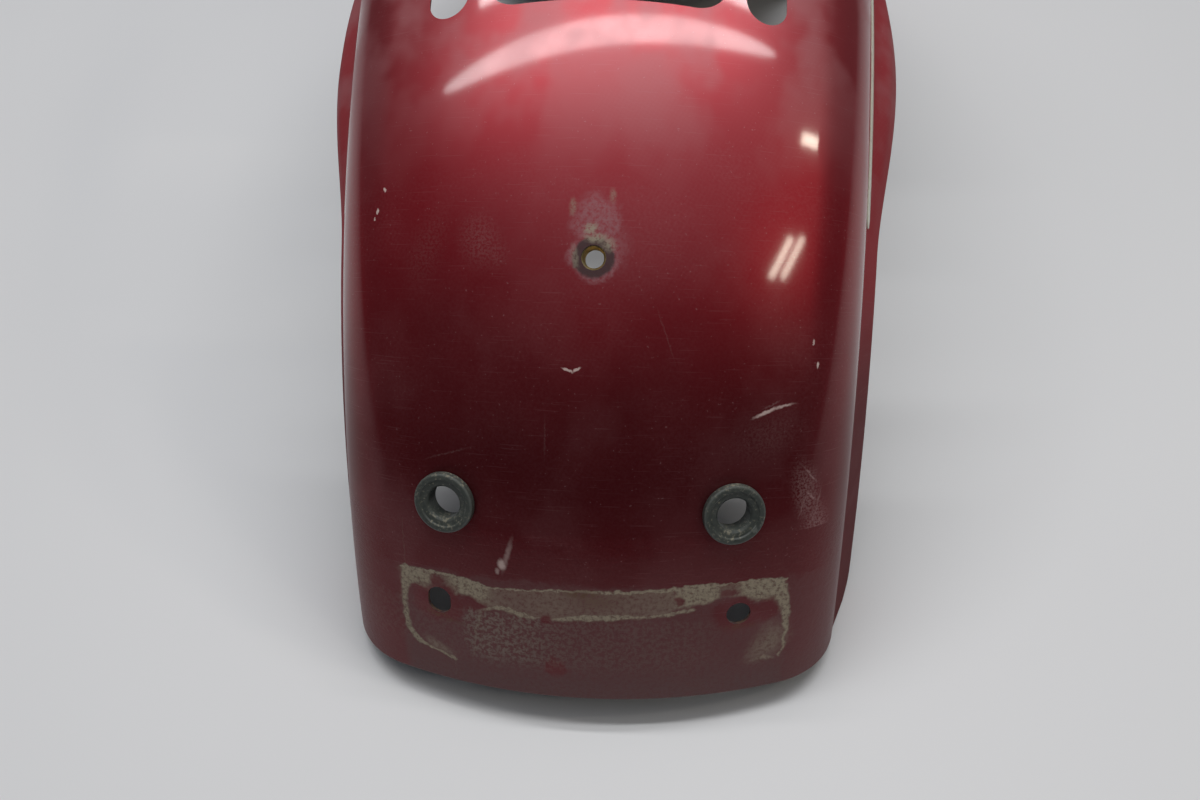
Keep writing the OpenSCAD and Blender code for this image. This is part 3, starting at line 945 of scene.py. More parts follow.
def spots(n, flat, items):
    """The union of soft ellipses in millimetres: (x, y, half x, half y, turn, softness, strength)."""
    out = None
    for x, y, hx, hy, turn, soft, strength in items:
        grow = 1 + soft
        inputs = {"Vector": flat, "Location": (x, y, 0), "Rotation": (0, 0, math.radians(turn))}
        inputs["Scale"] = (hx * grow, hy * grow, 1)
        local = n.add("ShaderNodeMapping", inputs, vector_type="TEXTURE").outputs[0]
        near = n.add("ShaderNodeTexGradient", {"Vector": local}, gradient_type="SPHERICAL").outputs["Fac"]
        mask = n.step(near, 0.0, 2 * soft / grow, 0.0, strength)
        out = mask if out is None else n.top(out, mask)
    return out


def unit(mm):
    """Millimetres either side of the middle as 0 to 1, for the curves."""
    return (mm + CURVE_SPAN / 2) / CURVE_SPAN


def units(n, vector):
    """The two parts of a flat position in millimetres as 0 to 1, for the curves."""
    return [n.math("MULTIPLY_ADD", n.split(vector)[k], 1 / CURVE_SPAN, 0.5) for k in (0, 1)]


def place_curve(n, run, points):
    """A curve of places along a run: points are (mm, mm)."""
    return n.curve(run, [(unit(a), unit(b)) for a, b in points])


def share_curve(n, run, points):
    """A curve of shares along a run: points are (mm, share)."""
    return n.curve(run, [(unit(a), b) for a, b in points])


def trace(n, run, side, place, width, edge=0.8):
    """A painted line: its place, and its half width, as curves of (mm, mm) along its run."""
    at = place_curve(n, run, place)
    half = share_curve(n, run, [(a, b / WIDTH_SPAN) for a, b in width])
    off = n.math("ABSOLUTE", n.math("SUBTRACT", side, at))
    return n.step(n.math("MULTIPLY_ADD", off, -CURVE_SPAN / WIDTH_SPAN, half), 0.0, edge / WIDTH_SPAN)


# The bracket's print, in millimetres across and up the crown: traced lines by their place and half width
BRIM = [
    (-90, 59), (-83, 59.3), (-66, 60), (-50, 59), (-42, 57.3), (-15, 59), (23, 60), (39, 61), (55, 62),
    (71, 62), (88, 61),
]
BRIM_WIDTH = [
    (-86, 0), (-83, 1.3), (-60, 1.2), (-45, 0.9), (-28, 0.8), (0, 1.1), (30, 1.2), (46, 1.4), (57, 1.2),
    (63, 0.6), (70, 1.4), (84, 1.5), (88, 0),
]
RIDGE = [
    (-50, 42), (-46, 45), (-37, 47.6), (-27, 45.2), (-18, 44.6), (-4, 46), (12, 47), (34, 48), (42, 50),
]
RIDGE_WIDTH = [
    (-52, 0), (-46, 0.9), (-37, 1.7), (-27, 1.8), (-21, 0.9), (-14, 1.3), (-4, 2.2), (12, 2.1), (24, 1.2),
    (34, 1.6), (42, 1.6), (48, 0),
]
LEFT_END = [(14, -60), (16.5, -66), (18, -72), (21, -78), (27, -82), (41, -83), (61, -82)]
LEFT_END_WIDTH = [
    (13, 0), (16, 3.6), (18, 3.8), (21, 2.9), (27, 2.3), (41, 2.0), (50, 2.5), (59, 2.6), (62, 0),
]
RIGHT_END = [(19, 86), (24, 88), (36, 88), (50, 87), (61, 84.5)]
RIGHT_END_WIDTH = [(16, 0), (20, 1.4), (30, 1.8), (45, 2.6), (55, 2.6), (61, 2), (63.5, 0)]
CORNER = [(17, -51), (32, -49), (44, -46.5)]
CORNER_WIDTH = [(15, 0), (19, 0.7), (32, 1.0), (43, 1.3), (46, 0)]
# The mud's lower limit, and how thick it lies above it: thick at the ends and thin in the middle
FOOT = [
    (-86, 40), (-78, 50), (-70, 52), (-64, 54), (-58, 50), (-50, 50.5), (-45, 49), (-40, 47), (-27, 45),
    (-4, 45.5), (34, 48), (42, 51.5), (50, 53), (58, 55.5), (64, 55), (72, 53.5), (80, 52), (86, 44),
]
LOAD = [
    (-84, 1), (-73, 1), (-68, 0.3), (-62, 0.5), (-58, 1), (-48, 1), (-41, 0.55), (-30, 0.38), (-15, 0.46),
    (0, 0.36), (20, 0.42), (36, 0.5), (42, 0.95), (54, 1), (59, 0.4), (65, 0.6), (70, 1), (86, 1),
]
# How strong the stipple and the film are across the crown, and the film up the crown
STIPPLE_ACROSS = [(-55, 0), (-49, 1.0), (-30, 0.9), (-16, 0.5), (0, 0.3), (40, 0.2), (62, 0)]
FILM_ACROSS = [(-100, 0.2), (-86, 0.35), (-80, 1), (84, 1), (90, 0.7), (100, 0.6)]
FILM_UP = [(-5, 0.72), (6, 0.64), (16, 0.50), (30, 0.40), (48, 0.38), (60, 0.33), (64, 0.03), (84, 0)]
# Spots of mud, of paint rubbed clean and of rust, as spots() takes them
MUD_SPOTS = [
    (80, 27, 9, 6, 50, 0.8, 0.55), (-68, 20, 7, 2.5, -25, 0.7, 0.5), (78, 18.5, 5, 1.2, -12, 0.6, 0.7),
    (85, 52, 3.5, 7, 0, 0.5, 0.9),
]
RUBBED_SPOTS = [
    (-66, 45, 12, 9.5, 0, 0.3, 1.0), (-50, 47, 7, 3.2, 15, 0.5, 0.8), (66, 45.5, 12.5, 8.5, 0, 0.3, 1.0),
    (79, 46, 5, 7.5, 0, 0.35, 0.95), (-14, 18.5, 4.2, 6, 15, 0.3, 0.9),
    (-67, 55.5, 3.6, 3.0, 20, 0.4, 0.8), (61, 57.5, 4, 1.8, 10, 0.4, 0.8),
    (40.5, 55, 2.6, 2.4, 0, 0.4, 0.9), (-17.5, 45, 3.2, 2.6, 0, 0.4, 0.95),
]
RUST_SPOTS = [
    (-2, 58, 7, 1.8, 0, 0.7, 0.9), (4, 54.5, 8, 3.2, 0, 0.9, 0.5), (66, 39, 7.5, 1.2, 0, 0.6, 0.6),
    (-64, 37.5, 8, 1.1, -10, 0.6, 0.8),
]


def group_bracket_print():
    """The dried mud that the bracket left: khaki lines and patches, a dusty film, and rubbed paint."""
    outputs = [("Mud", "Float"), ("Film", "Float"), ("Rust", "Float"), ("Grain", "Float")]
    n, i, out = group("Bracket print", [("Amount", "Float", 1.0)], outputs)
    flat = call(n, "Fender position")["Flat"]
    fine = ragged(n, flat, 1.5, 4.5)
    wide = ragged(n, flat, 4.0, 12.0)
    grain = n.noise(flat, 0.5, 5.0, 0.74, flat=True)
    u, v = units(n, fine)
    wu, wv = units(n, wide)
    top_line = trace(n, u, v, BRIM, BRIM_WIDTH)
    ridge = trace(n, u, v, RIDGE, RIDGE_WIDTH, 1.2)
    left = trace(n, v, u, LEFT_END, LEFT_END_WIDTH, 1.6)
    right = trace(n, v, u, RIGHT_END, RIGHT_END_WIDTH, 1.6)
    corner = n.times(trace(n, v, u, CORNER, CORNER_WIDTH, 1.2), 0.6)
    over = n.step(n.math("SUBTRACT", wv, place_curve(n, wu, FOOT)), -0.006, 0.006)
    under = n.step(n.math("SUBTRACT", place_curve(n, u, BRIM), v), -0.003, 0.003)
    inside_x = n.times(n.step(wu, unit(-86), unit(-82)), n.step(wu, unit(89), unit(85)))
    band = n.times(over, under, inside_x, share_curve(n, wu, LOAD))
    low = spots(n, wide, MUD_SPOTS)
    rubbed = spots(n, wide, RUBBED_SPOTS)
    edges = n.times(n.top(left, right, top_line), 0.8)
    mud = n.top(top_line, ridge, left, right, corner, band, low)
    mud = n.times(mud, n.top(n.without(rubbed, 0.95), edges))
    stipple = n.times(
        share_curve(n, wu, STIPPLE_ACROSS),
        n.step(wv, unit(46), unit(43)),
        n.step(wv, unit(12), unit(24)),
        n.step(grain, 0.44, 0.58),
    )
    mud = n.top(n.times(mud, n.step(grain, 0.30, 0.52, 0.45, 1.0)), n.times(stipple, 0.34))
    n.feed(out["Mud"], n.times(mud, i["Amount"]))
    down = share_curve(n, wv, FILM_UP)
    side = share_curve(n, wu, FILM_ACROSS)
    film = n.times(down, side, n.step(grain, 0.3, 0.62, 0.72, 1.1), n.without(rubbed, 0.95))
    n.feed(out["Film"], n.times(n.math("MULTIPLY_ADD", stipple, 0.5, film), i["Amount"]))
    rust = spots(n, fine, RUST_SPOTS)
    n.feed(out["Rust"], n.times(rust, n.step(grain, 0.38, 0.56), i["Amount"]))
    n.feed(out["Grain"], grain)


# The seat tab's print, as spots() takes it
HALO_SPOTS = [
    (1, SEAT_UP + 14, 10, 11, -8, 0.3, 0.8), (3, SEAT_UP + 5, 10, 11, 0, 0.45, 0.6),
    (0, SEAT_UP, 10, 9.6, 0, 0.15, 0.85),
]
SALT_SPOTS = [
    (-1.5, SEAT_UP + 11.5, 2.6, 2.0, 20, 0.6, 1.0), (0.5, SEAT_UP + 7.8, 4.0, 1.8, 0, 0.7, 1.0),
    (5.8, SEAT_UP + 5.5, 2.8, 2.4, -40, 0.7, 0.8), (-7.5, SEAT_UP, 1.2, 4, 10, 0.7, 0.6),
    (-9, SEAT_UP + 20, 1.4, 3.0, 0, 0.7, 0.55), (7, SEAT_UP + 25, 1.2, 2.4, 0, 0.7, 0.5),
]


def group_seat_print():
    """The ring that the seat's tab rubbed round its bolt, with corrosion and a pale footprint above it."""
    n, _, out = group("Seat tab print", [], [("Dark", "Float"), ("Bloom", "Float"), ("Salt", "Float")])
    flat = call(n, "Fender position")["Flat"]
    fine = ragged(n, flat, 0.9, 3.0)
    wide = ragged(n, flat, 3.2, 8.0)
    grain = n.noise(flat, 0.6, 4.0, 0.7, flat=True)
    n.feed(out["Dark"], spots(n, fine, [(0, SEAT_UP, 8.4, 8.2, 0, 0.10, 1.0)]))
    n.feed(out["Bloom"], n.times(spots(n, wide, HALO_SPOTS), n.step(grain, 0.3, 0.62, 0.3, 1.0)))
    n.feed(out["Salt"], n.times(spots(n, fine, SALT_SPOTS), n.step(grain, 0.35, 0.55, 0.3, 1.0)))


def build_groups():
    """The node groups that the materials share, made once."""
    if "Fender position" in bpy.data.node_groups:
        return
    group_position()
    group_ragged()
    group_dust()
    group_lacquer()
    group_bracket_print()
    group_seat_print()


def material(name):
    """A new material with a Principled shader: (material, nodes, shader)."""
    build_groups()
    mat = bpy.data.materials.new(name)
    mat.use_nodes = True
    return mat, Nodes(mat.node_tree), mat.node_tree.nodes["Principled BSDF"]


def link(n, shader, **sockets):
    for name, value in sockets.items():
        n.feed(shader.inputs[name.replace("_", " ")], value)


def bump(n, height, distance):
    return n.add("ShaderNodeBump", {"Height": height, "Distance": distance * MM}).outputs["Normal"]


def looks():
    return bpy.context.scene.fender_looks


# Chips, rubbed lines and scuffed fields on the crown, as spots() takes them
BODY_CHIPS = [
    (-91.6, 230.7, 0.55, 1.2, 20, 0.3, 0.9), (-94.7, 221.3, 0.6, 1.3, -10, 0.3, 0.9),
    (-96, 218, 0.45, 0.8, 0, 0.3, 0.8), (95, 160, 0.5, 1.5, 0, 0.3, 0.9),
    (-9.2, 156.6, 2.4, 0.6, -18, 0.4, 0.85), (-5.4, 157.0, 1.8, 0.6, 30, 0.4, 0.85),
    (92.6, 170, 0.4, 1.2, 0, 0.3, 0.7), (22, 236, 0.5, 0.8, 0, 0.3, 0.5),
    (73, 140.2, 5.4, 0.7, 24, 0.6, 0.8), (80, 142.6, 4.4, 0.6, 14, 0.6, 0.7),
]
BODY_LINES = [
    (75, 143.2, 3.6, 0.4, 26, 0.6, 0.6), (94.5, 111, 4.6, 0.5, -50, 0.6, 1.0),
    (95.5, 101, 3.6, 0.7, -50, 0.6, 1.0), (92, 97, 0.5, 5.5, -16, 0.6, 0.7),
    (98.5, 94, 0.45, 9, -10, 0.6, 0.6), (-60, 118, 9, 0.35, 20, 0.7, 0.3),
    (-18, 128, 0.35, 7, 0, 0.7, 0.25), (30, 172, 0.3, 9, 20, 0.7, 0.25),
]
BODY_FIELDS = [
    (93, 103, 5, 12, 12, 0.8, 0.9), (99, 86, 5, 11, 12, 0.8, 0.9), (-47, 208, 7, 9, 20, 0.9, 0.45),
    (-40, 203, 4, 5, 0, 0.9, 0.4), (-70, 205, 6, 14, -20, 0.9, 0.25), (74, 130, 14, 8, 20, 0.9, 0.25),
    (96, 78, 8, 8, 0, 0.9, 0.4),
]
TAIL_CHIPS = [
    (-36.4, 69.5, 1.6, 2.4, 10, 0.6, 0.8), (-34.0, 74.2, 1.0, 6.5, -14, 0.8, 0.38),
    (-38.5, 66, 0.8, 1.4, 0, 0.6, 0.5),
]


def lacquer(zone):
    """Burgundy metallic lacquer under a clear coat: body, tail, round the seat bolt, or skirt."""
    own = looks()
    mat, n, shader = material("lacquer_" + zone)
    place = call(n, "Fender position")
    flat = place["Flat"]
    inputs = {"Paint": own.paint_color, "Shaded low paint": own.shaded_low_paint_color, "Haze and sheen": own.haze_and_sheen_color}
    base = call(n, "Worn lacquer", inputs | {"Dust": own.dust, "Smears": own.smears})
    color, veil_and_sheen = base["Color"], base["Veil and sheen"]
    if zone == "body":
        fine = ragged(n, flat, 0.7, 2.2)
        grain = n.step(n.noise(flat, 0.9, 3.0, 0.7, flat=True), 0.38, 0.6)
        lines = n.times(spots(n, fine, BODY_LINES), n.math("MULTIPLY_ADD", grain, 0.6, 0.4))
        fields = n.times(spots(n, flat, BODY_FIELDS), grain, 0.6)
        chips = n.times(spots(n, fine, BODY_CHIPS), own.wear)
        scuffs = n.times(n.top(lines, fields), own.wear)
        color = n.mix(n.times(scuffs, 0.7), color, own.scuff_color)
        color = n.mix(chips, color, own.chip_color)
        matte = n.top(chips, n.times(scuffs, 0.35))
    elif zone == "tail":
        mud = call(n, "Bracket print", {"Amount": own.mud})
        fine = ragged(n, flat, 0.7, 2.2)
        chips = n.times(spots(n, fine, TAIL_CHIPS), own.wear)
        color = n.mix(n.times(mud["Film"], 0.85), color, own.film_color)
        khaki = n.mix(n.step(mud["Grain"], 0.3, 0.7), tuple(c * 0.66 for c in own.mud_color), own.mud_color)
        color = n.mix(mud["Mud"], color, khaki)
        color = n.mix(n.times(mud["Rust"], 0.8), color, own.rust_color)
        color = n.mix(chips, color, own.chip_color)
        matte = n.top(mud["Mud"], n.times(mud["Film"], 0.9), chips)
        link(n, shader, Normal=bump(n, mud["Grain"], 0.22))
    elif zone == "skirt":
        matte = 0.6
        link(n, shader, Specular_IOR_Level=0.08)
    else:
        seat = call(n, "Seat tab print")
        color = n.mix(n.times(seat["Bloom"], 0.55), color, own.bloom_color)
        color = n.mix(n.times(seat["Dark"], 0.9), color, (0.050, 0.040, 0.040))
        color = n.mix(n.times(seat["Salt"], 0.85), color, own.mud_color)
        matte = n.top(n.times(seat["Dark"], 0.75), n.times(seat["Bloom"], 0.5))
    bare = n.math("MAXIMUM", n.without(n.top(matte, n.times(veil_and_sheen, 0.85))), 0.0)
    # The skirts and the tail are duller than the crown
    dull = SKIRT_COAT if zone == "skirt" else n.step(n.split(flat)["Y"], 100.0, 200.0, own.tail_gloss, 1.0)
    link(n, shader, Base_Color=color, Metallic=n.times(bare, SKIRT_METAL if zone == "skirt" else METAL))
    link(n, shader, Roughness=n.step(n.math("ADD", matte, n.times(veil_and_sheen, 0.5)), 0.0, 1.0, 0.38, 0.86))
    clean = n.math("MAXIMUM", n.without(matte), 0.0)
    coat = n.times(clean, own.gloss, dull, n.step(veil_and_sheen, 0.0, 0.5, 1.0, 0.45))
    link(n, shader, Coat_Weight=coat, Coat_Roughness=0.08, Specular_Tint=own.edge_color)
    return mat


def underside():
    """Dark undercoat with road dirt in clouds and grit."""
    mat, n, shader = material("underside_dirt")
    place = call(n, "Fender position")
    cloud = n.step(n.noise(place["Point"], 0.02, 4.0, 0.62, 0.5), 0.35, 0.68)
    grit = n.step(n.noise(place["Point"], 0.5, 3.0, 0.72), 0.4, 0.7)
    dark = looks().underside_color
    color = n.mix(cloud, dark, tuple(c * 2.4 for c in dark))
    color = n.mix(n.times(grit, cloud, 0.6), color, (0.12, 0.10, 0.075))
    rough = n.step(cloud, 0.0, 1.0, 0.6, 0.92)
    link(n, shader, Base_Color=color, Roughness=rough, Normal=bump(n, grit, 0.3))
    return mat


def cut_edge():
    """The punched edge of the sheet: old paint with rust."""
    mat, n, shader = material("punched_edge")
    patch = n.step(n.noise(call(n, "Fender position")["Point"], 0.35, 4.0, 0.65), 0.42, 0.6)
    color = n.mix(patch, (0.055, 0.022, 0.022), (0.11, 0.062, 0.036))
    rough = n.step(patch, 0.0, 1.0, 0.45, 0.8)
    link(n, shader, Base_Color=color, Roughness=rough, Normal=bump(n, patch, 0.08))
    return mat


def stripe_film():
    """A pale film, greyed by wear and dust."""
    mat, n, shader = material("pale_film")
    pale = looks().stripe_color
    worn = n.step(n.noise(call(n, "Fender position")["Point"], 0.4, 4.0, 0.7), 0.5, 0.72)
    dust = call(n, "Dust", {"Amount": looks().dust, "Cloud size": 30.0})
    color = n.mix(n.times(worn, 0.35), pale, tuple(c * 0.5 for c in pale))
    color = n.mix(dust["Mask"], color, (0.40, 0.38, 0.33))
    rough = n.step(worn, 0.0, 1.0, 0.32, 0.6)
    link(n, shader, Base_Color=color, Roughness=rough, Coat_Weight=0.3, Normal=bump(n, worn, 0.03))
    return mat


def rubber():
    """Aged grey-green rubber, pale with dust on its rims and caked with a little mud."""
    mat, n, shader = material("aged_rubber")
    place = call(n, "Fender position")
    dust = call(n, "Dust", {"Amount": 0.9, "Cloud size": 9.0})
    grain = n.noise(place["Point"], 0.7, 4.0, 0.7)
    edge = n.step(n.add("ShaderNodeNewGeometry").outputs["Pointiness"], 0.505, 0.56)
    dark = looks().rubber_color
    color = n.mix(n.step(grain, 0.3, 0.7), tuple(c * 0.55 for c in dark), dark)
    color = n.mix(n.times(dust["Mask"], 0.30), color, (0.16, 0.17, 0.145))
    color = n.mix(n.times(edge, 0.3), color, (0.26, 0.275, 0.25))
    cake = n.step(n.math("MULTIPLY_ADD", dust["Mask"], 0.2, grain), 0.62, 0.78)
    color = n.mix(n.times(cake, 0.7), color, (0.26, 0.235, 0.17))
    rough = n.step(dust["Mask"], 0.0, 0.9, 0.42, 0.8)
    link(n, shader, Base_Color=color, Roughness=rough, Normal=bump(n, grain, 0.12))
    return mat


def zinc():
    """Yellow-passivated zinc, dulled and stained."""
    mat, n, shader = material("stained_zinc")
    place = call(n, "Fender position")
    tone = n.step(n.noise(place["Point"], 0.12, 3.0, 0.6), 0.35, 0.65)
    stain = n.step(n.noise(place["Point"], 0.5, 4.0, 0.7), 0.52, 0.7)
    bright = looks().zinc_color
    color = n.mix(tone, bright, tuple(c * s for c, s in zip(bright, (0.77, 0.88, 1.3))))
    color = n.mix(n.times(stain, 0.6), color, (0.14, 0.09, 0.05))
    link(n, shader, Base_Color=color, Metallic=n.math("MULTIPLY_ADD", stain, -0.6, 0.95))
    rough = n.step(n.math("ADD", tone, stain), 0.0, 2.0, 0.30, 0.65)
    link(n, shader, Roughness=rough, Normal=bump(n, stain, 0.05))
    return mat


def primer():
    """Dull dark primer with clouds of dust and patches of rust."""
    mat, n, shader = material("dull_primer")
    place = call(n, "Fender position")
    cloud = n.step(n.noise(place["Point"], 0.05, 4.0, 0.6), 0.35, 0.65)
    rust = n.step(n.noise(place["Point"], 0.22, 4.0, 0.7), 0.56, 0.68)
    color = n.mix(cloud, (0.038, 0.036, 0.035), (0.085, 0.076, 0.066))
    color = n.mix(n.times(rust, 0.75), color, (0.17, 0.075, 0.035))
    rough = n.step(cloud, 0.0, 1.0, 0.5, 0.82)
    link(n, shader, Base_Color=color, Roughness=rough, Normal=bump(n, rust, 0.10))
    return mat


def floor_paint():
    """Plain pale floor, with a hint of variation."""
    mat, n, shader = material("floor_paint")
    at = n.add("ShaderNodeTexCoord").outputs["Object"]
    tone = n.step(n.noise(at, 1.7, 2.0, 0.5), 0.3, 0.7)
    pale = bpy.context.scene.fender_stage.floor_color
    link(n, shader, Base_Color=n.mix(tone, tuple(c * 0.96 for c in pale), pale), Roughness=0.55)
    return mat


def color_property(name, description, default):
    kind = {"subtype": "COLOR", "min": 0.0, "max": 1.0}
    return FloatVectorProperty(name=name, description=description, default=default, **kind)


def share_property(name, description, default):
    kind = {"subtype": "FACTOR", "min": 0.0, "max": 1.0}
    return FloatProperty(name=name, description=description, default=default, **kind)


def size_property(name, description, mm):
    kind = {"subtype": "DISTANCE", "unit": "LENGTH", "precision": 5, "min": 0.0}
    return FloatProperty(name=name, description=description, default=mm * MM, **kind)


def power_property(name, description, watts):
    return FloatProperty(name=name, description=description, unit="POWER", default=watts, min=0.0)


class FenderSizes(bpy.types.PropertyGroup):
    """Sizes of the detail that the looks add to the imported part."""

    crease_fillet: size_property("Crease fillet", "Radius of the fold between the crown and a skirt", 6.0)
    film_height: size_property("Film height", "How far a stripe's film stands above the paint", 0.6)
    lip_round: size_property("Grommet lip", "Rounding of a grommet's outer lip", 1.5)
    thread_pitch: size_property("Thread pitch", "Pitch of the nuts' threads", 1.25)
    thread_depth: size_property("Thread depth", "Depth of the nuts' threads", 0.35)
    plate_bevel: size_property("Plate bevel", "Bevel of the plates' edges", 0.5)
    clip_bevel: size_property("Clip bevel", "Bevel of the clips' edges", 0.25)
    arc_steps: IntProperty(
        name="Arc steps",
        description="Sections of the shell between its rounded corners",
        default=290,
        min=40,
        max=400,
    )


class FenderLooks(bpy.types.PropertyGroup):
    """Colours and wear of the fender."""

    paint_color: color_property("Paint", "Base colour of the lacquer on the crown", (0.315, 0.009, 0.018))
    # Painted shade: the darker lacquer low on the tail stands in for the lesser light there
    shaded_low_paint_color: color_property("Shaded low paint", "Colour of the lacquer on the tail", (0.105, 0.006, 0.009))
    # The haze colour is also the painted sheen before the seat opening
    haze_and_sheen_color: color_property("Haze and sheen", "Colour of the haze and dust on the lacquer", (0.42, 0.24, 0.25))
    bloom_color: color_property("Bloom", "Colour of the pale print round the seat bolt", (0.30, 0.225, 0.24))
    film_color: color_property("Film", "Colour of the dusty film on the tail", (0.17, 0.128, 0.124))
    mud_color: color_property("Mud", "Colour of the dried mud", (0.36, 0.31, 0.23))
    rust_color: color_property("Rust", "Colour of the rust in the mud", (0.12, 0.06, 0.03))
    chip_color: color_property("Chips", "Colour of chipped paint", (0.62, 0.50, 0.46))
    scuff_color: color_property("Scuffs", "Colour of scuffed paint", (0.42, 0.27, 0.26))
    underside_color: color_property("Underside", "Colour of the undercoat", (0.026, 0.023, 0.022))
    stripe_color: color_property("Stripe", "Colour of the stripe's film", (0.66, 0.66, 0.54))
    rubber_color: color_property("Rubber", "Colour of the grommets", (0.034, 0.042, 0.037))
    zinc_color: color_property("Zinc", "Colour of the nuts' zinc", (0.60, 0.42, 0.15))
    edge_color: color_property("Edge tint", "Tint of the lacquer seen at a low angle", (0.45, 0.13, 0.14))
    gloss: share_property("Gloss", "Weight of the clear coat", 1.0)
    tail_gloss: share_property("Tail gloss", "Share of the clear coat that is left on the tail", 0.4)
    dust: share_property("Dust", "Dust on what faces up", 0.10)
    smears: share_property("Smears", "Wiped haze and fine scratches", 1.0)
    mud: share_property("Mud amount", "Dried mud of the bracket's footprint", 1.0)
    wear: share_property("Wear", "Chips and scuffs in the paint", 1.0)


class FenderStage(bpy.types.PropertyGroup):
    """Floor, lamps and camera."""

    floor_color: color_property("Floor", "Colour of the floor", (0.76, 0.765, 0.775))
    sky_color: color_property("Sky", "Colour of the light from above", (0.56, 0.57, 0.60))
    horizon_color: color_property("Horizon", "Colour of the light from the sides", (0.045, 0.048, 0.053))
    top_power: power_property("Top lamp", "Power of the narrow lamp high over the front", 14.0)
    tube_power: power_property("Tube lamp", "Power of the long lamp that the crown mirrors", 13.0)
    glint_power: power_property("Small lamps", "Power of each small warm lamp at the right", 3.0)
    lens: FloatProperty(
        name="Lens",
        description="Focal length of the camera in millimetres",
        unit="CAMERA",
        default=39.0,
        min=10.0,
    )


def declare(obj, slot, *nodes):
    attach(obj, "root")
    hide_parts(*nodes)


def area_lamp(name, place, size, power, turn=0.0, color=(1, 1, 1), shape="RECTANGLE"):
    """A lamp that faces straight down, turned about the vertical."""
    light = bpy.data.lights.new(name, "AREA")
    light.shape = shape
    light.size, light.size_y = size
    light.energy = power
    light.color = color
    obj = new_object(name, light)
    obj.matrix_world = Matrix.Translation(place) @ Matrix.Rotation(math.radians(turn), 4, "Z")


def build_stage():
    stage = bpy.context.scene.fender_stage
    cam = bpy.data.cameras.new("photo_camera")
    cam.sensor_width = 36.0
    cam.lens = stage.lens
    cam.clip_start = 0.01
    obj = new_object("photo_camera", cam)
    x, y, z = CAMERA_PLACE
    view = Matrix((CAMERA_RIGHT, CAMERA_UP, CAMERA_BACK)).transposed().to_4x4()
    view.translation = Vector((x, y + AXLE_Y, z + AXLE_Z)) * MM
    obj.matrix_world = view
    bpy.context.scene.camera = obj
    bm = bmesh.new()
    bmesh.ops.create_grid(bm, x_segments=1, y_segments=1, size=6.0)
    floor = finish_mesh(bm, "floor", scale=1.0)
    floor.location.z = FLOOR_Z
    floor.data.materials.append(floor_paint())
    area_lamp("top", (0, 0.36, TOP_LAMP_Z), (2.4, 0.10), stage.top_power)
    area_lamp("tube", (-0.13, -0.085, LAMP_Z), (2.6, 0.17), stage.tube_power, 5.5, shape="ELLIPSE")
    for name, x, y, size, turn in SMALL_LAMPS:
        area_lamp(name, (x, y, LAMP_Z), size, stage.glint_power, turn, (1.0, 0.90, 0.74))
    world = bpy.context.scene.world or bpy.data.worlds.new("studio")
    bpy.context.scene.world = world
    world.use_nodes = True
    n = Nodes(world.node_tree)
    height = n.split(n.add("ShaderNodeTexCoord").outputs["Generated"])["Z"]
    color = n.mix(n.step(height, 0.62, 1.0), stage.horizon_color, stage.sky_color)
    n.feed(world.node_tree.nodes["Background"].inputs["Color"], color)
    bpy.context.scene.view_settings.view_transform = "Standard"


class FENDER_OT_shell(bpy.types.Operator):
    """Build the lacquered shell with its hem, blisters and holes"""

    bl_idname = "fender.shell"
    bl_label = "Shell"

    def execute(self, context):
        declare(build_shell(), "red_lacquer", "fender_shell")
        return {"FINISHED"}


class FENDER_OT_stripes(bpy.types.Operator):
    """Build the two pale stripes below the creases"""

    bl_idname = "fender.stripes"
    bl_label = "Stripes"

    def execute(self, context):
        for obj, word in zip(build_stripes(), NAMES):
            declare(obj, "stripe_film", "pinstripe_" + word)
        return {"FINISHED"}


class FENDER_OT_grommets(bpy.types.Operator):
    """Build the two rubber grommets"""

    bl_idname = "fender.grommets"
    bl_label = "Grommets"

    def execute(self, context):
        for obj, word in zip(build_grommets(), NAMES):
            declare(obj, "grommet_rubber", "grommet_" + word)
        return {"FINISHED"}


class FENDER_OT_nuts(bpy.types.Operator):
    """Build the seat nut and the strut nuts"""

    bl_idname = "fender.nuts"
    bl_label = "Nuts"

    def execute(self, context):
        for obj, node in zip(build_nuts(), ("seat_nut", "strut_nut_left", "strut_nut_right")):
            declare(obj, "yellow_zinc", node)
        return {"FINISHED"}


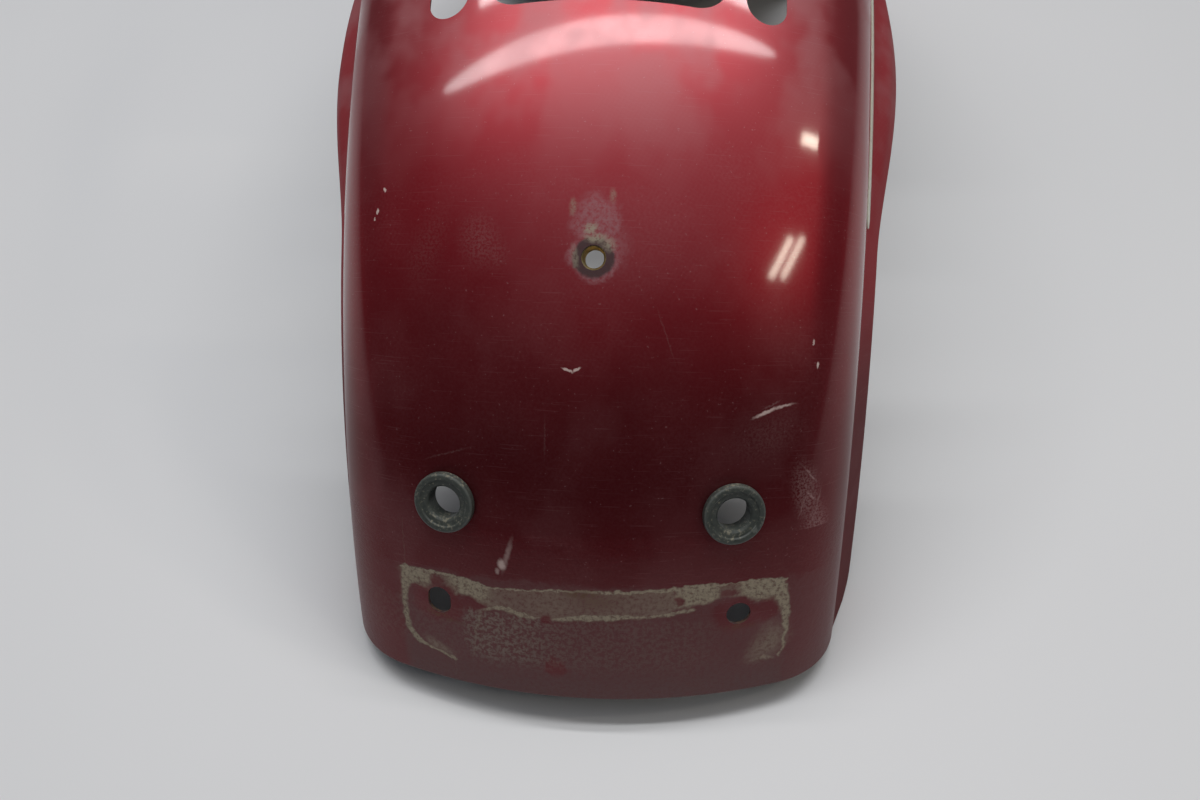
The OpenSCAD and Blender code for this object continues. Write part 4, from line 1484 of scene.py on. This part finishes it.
class FENDER_OT_plates(bpy.types.Operator):
    """Build the seat plate and the strut plates"""

    bl_idname = "fender.plates"
    bl_label = "Plates"

    def execute(self, context):
        for obj, node in zip(build_plates(), ("seat_plate", "strut_plate_left", "strut_plate_right")):
            declare(obj, "dark_primer", node)
        return {"FINISHED"}


class FENDER_OT_clips(bpy.types.Operator):
    """Build the wiring clips under the crown"""

    bl_idname = "fender.clips"
    bl_label = "Wiring clips"

    def execute(self, context):
        declare(build_clips(), "dark_primer", "wiring_clips")
        return {"FINISHED"}


class FENDER_OT_stage(bpy.types.Operator):
    """Build the floor, the lamps and the camera"""

    bl_idname = "fender.stage"
    bl_label = "Stage"

    def execute(self, context):
        build_stage()
        return {"FINISHED"}


OPERATORS = (
    FENDER_OT_shell,
    FENDER_OT_stripes,
    FENDER_OT_grommets,
    FENDER_OT_nuts,
    FENDER_OT_plates,
    FENDER_OT_clips,
    FENDER_OT_stage,
)
GROUPS = {"fender_sizes": FenderSizes, "fender_looks": FenderLooks, "fender_stage": FenderStage}


class FENDER_PT_looks(bpy.types.Panel):
    """The fender's steps, sizes and colours"""

    bl_idname = "FENDER_PT_looks"
    bl_label = "Rear fender"
    bl_space_type = "VIEW_3D"
    bl_region_type = "UI"
    bl_category = "Fender"

    def draw(self, context):
        for operator in OPERATORS:
            self.layout.operator(operator.bl_idname)
        for name, kind in GROUPS.items():
            box = self.layout.box()
            for prop in kind.__annotations__:
                box.prop(getattr(context.scene, name), prop)


def register():
    for cls in (*GROUPS.values(), *OPERATORS, FENDER_PT_looks):
        bpy.utils.register_class(cls)
    for name, kind in GROUPS.items():
        setattr(bpy.types.Scene, name, PointerProperty(type=kind))


def unregister():
    for name in GROUPS:
        delattr(bpy.types.Scene, name)
    for cls in (FENDER_PT_looks, *reversed(OPERATORS), *reversed(GROUPS.values())):
        bpy.utils.unregister_class(cls)


def main():
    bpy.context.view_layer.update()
    register()
    steps = (
        bpy.ops.fender.shell,
        bpy.ops.fender.stripes,
        bpy.ops.fender.grommets,
        bpy.ops.fender.nuts,
        bpy.ops.fender.plates,
        bpy.ops.fender.clips,
        bpy.ops.fender.stage,
    )
    for step in steps:
        step()


if __name__ == "__main__":
    main()
